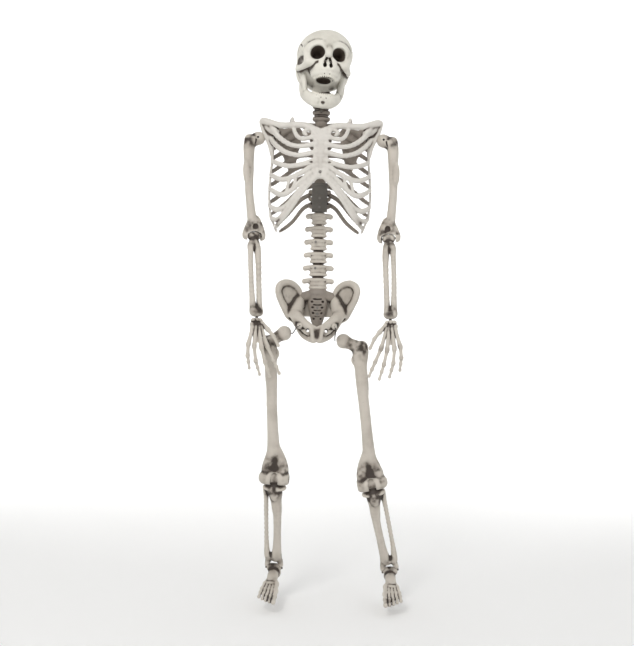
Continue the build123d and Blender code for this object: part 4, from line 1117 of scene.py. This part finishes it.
def make_limbs(side):
    """Every bone of one arm and one leg."""
    places = limb_places(side)
    mirror = side == "right"
    swing = to_left(joint_axis("shoulder_lift_" + side), side)
    slot = places["upper_arm"][:3, :3].T @ swing
    seed = 20 if mirror else 40
    pieces = (
        ("upper_arm_bone", humerus_clay(slot), "upper_arm", "humerus",
         [((30, 0, -5), 34), ((0, 0, 10 - HUMERUS), 52)]),
        ("forearm_bones", forearm_clay(), "forearm", "forearm",
         [((0, 0, -8), 40), ((0, 0, 18 - FOREARM), 34)]),
        ("hand_bones", hand_clay(), "hand", "hand",
         [((0, 0, -14), 30)] + [(p, 12) for finger in FINGERS for p in finger[2:]]),
        ("thigh_bone", femur_clay(), "thigh", "femur",
         [((50, 4, -30), 44), ((20, 0, -12), 26), ((0, 0, 14 - FEMUR), 62)]),
        ("shin_bones", shin_clay(), "shin", "shin",
         [((0, 0, -26), 52), ((0, 0, 14 - SHIN), 46)]),
        ("foot_bones", foot_clay(), "foot", "foot",
         [((0, 0, 0), 34), ((0, -150, -36), 40), ((0, 20, -46), 26)]),
    )
    for i, (label, clay, body, node, spots) in enumerate(pieces):
        make_piece(label + "_" + side, clay, LIMB_BONE, "limb_plastic", body + "_" + side, [node + "_" + side],
                   places[body], mirror, grain=0.2, seed=seed + i, extra_dark=lambda p, spots=spots: near(p, spots))


# ---------------------------------------------------------------- hardware that keeps its CAD shape
KEPT = {
    STEEL: ["breast_screw", "spine_screws", "lumbar_screws", "sacrum_screws", "neck_screw"],
    GREY_STEEL: ["jaw_pins", "neck_pin", "elbow_pin_left", "elbow_pin_right", "knee_pin_left", "knee_pin_right",
                 "ankle_pin_left", "ankle_pin_right"],
    WIRE: ["hip_wire_left", "hip_wire_right", "shoulder_link_left", "shoulder_link_right", "shoulder_pin_left",
           "shoulder_pin_right"],
    DARK: ["neck_peg", "wrist_peg_left", "wrist_peg_right"],
    COVER: ["spine_cover"],
}


def dress_kept_nodes():
    for material, nodes in KEPT.items():
        for node in nodes:
            mesh = bpy.data.objects[node].data
            mesh.materials.clear()
            mesh.materials.append(material)
            if "shade_and_wash" not in mesh.attributes:
                mesh.attributes.new("shade_and_wash", "FLOAT", "POINT")


make_head()
make_neck()
make_cage()
make_lower_torso()
for each_side in ("left", "right"):
    make_limbs(each_side)
dress_kept_nodes()


# ---------------------------------------------------------------- stage, lights and camera
FLOOR_Z = -1.425                # just under the toes
CAMERA_Y = -2.898
CAMERA_HEIGHT = 835             # mm above the figure's own floor
CAMERA_ROLL = -0.021
LENS, SENSOR = 52.9, 36


def make_cove():
    """A pale floor that curves up into a wall all round."""
    profile = [(0, 0), (1.5, 0), (3.5, 0), (5.0, 0)]
    profile += [(5.0 + 1.6 * math.sin(t), 1.6 * (1 - math.cos(t))) for t in np.linspace(0.1, math.pi / 2, 12)]
    profile += [(6.6, 3.5), (6.6, 5.5)]
    count = 96
    points, faces = [], []
    for r, h in profile:
        points += [(r * math.cos(2 * math.pi * i / count), r * math.sin(2 * math.pi * i / count), FLOOR_Z + h)
                   for i in range(count)]
    for row in range(len(profile) - 1):
        for i in range(count):
            j = (i + 1) % count
            faces.append((row * count + i, (row + 1) * count + i, (row + 1) * count + j, row * count + j))
    mesh = bpy.data.meshes.new("cove")
    mesh.from_pydata(points, [], faces)
    mesh.shade_smooth()
    mesh.materials.append(plain_material("paper", (0.90, 0.90, 0.895), 0.9))
    cove = bpy.data.objects.new("cove", mesh)
    bpy.context.scene.collection.objects.link(cove)


def make_light(name, place, aim, size, watts, color):
    data = bpy.data.lights.new(name, "AREA")
    data.shape, data.size, data.energy, data.color = "DISK", size, watts, color
    lamp = bpy.data.objects.new(name, data)
    lamp.location = place
    lamp.rotation_euler = (Vector(aim) - Vector(place)).to_track_quat("-Z", "Y").to_euler()
    bpy.context.scene.collection.objects.link(lamp)


def make_camera():
    data = bpy.data.cameras.new("camera")
    data.sensor_fit, data.sensor_height, data.lens = "VERTICAL", SENSOR, LENS
    data.clip_end = 60
    camera = bpy.data.objects.new("camera", data)
    roll = Matrix.Rotation(CAMERA_ROLL, 4, "Y")
    face = Matrix.Rotation(math.pi / 2, 4, "X")
    camera.matrix_world = Matrix.Translation((0, CAMERA_Y, (CAMERA_HEIGHT - HANG[2]) * MM)) @ roll @ face
    bpy.context.scene.collection.objects.link(camera)
    bpy.context.scene.camera = camera


make_cove()
make_light("key", (-1.1, -3.4, 1.9), (0, 0, -0.5), 1.3, 62, (1.0, 0.985, 0.96))
make_light("fill", (2.6, -2.8, 0.2), (0, 0, -0.6), 2.2, 9, (0.96, 0.98, 1.0))
make_light("wall_left", (-3.4, 2.2, 1.2), (-1.5, 6.6, 0.0), 1.6, 120, (1.0, 1.0, 1.0))
make_light("wall_right", (3.4, 2.2, 1.2), (1.5, 6.6, 0.0), 1.6, 120, (1.0, 1.0, 1.0))
world = bpy.data.worlds.new("studio")
world.use_nodes = True
world.node_tree.nodes["Background"].inputs["Color"].default_value = (1.0, 1.0, 1.0, 1)
world.node_tree.nodes["Background"].inputs["Strength"].default_value = 0.62
bpy.context.scene.world = world
bpy.context.scene.view_settings.view_transform = "Standard"
make_camera()
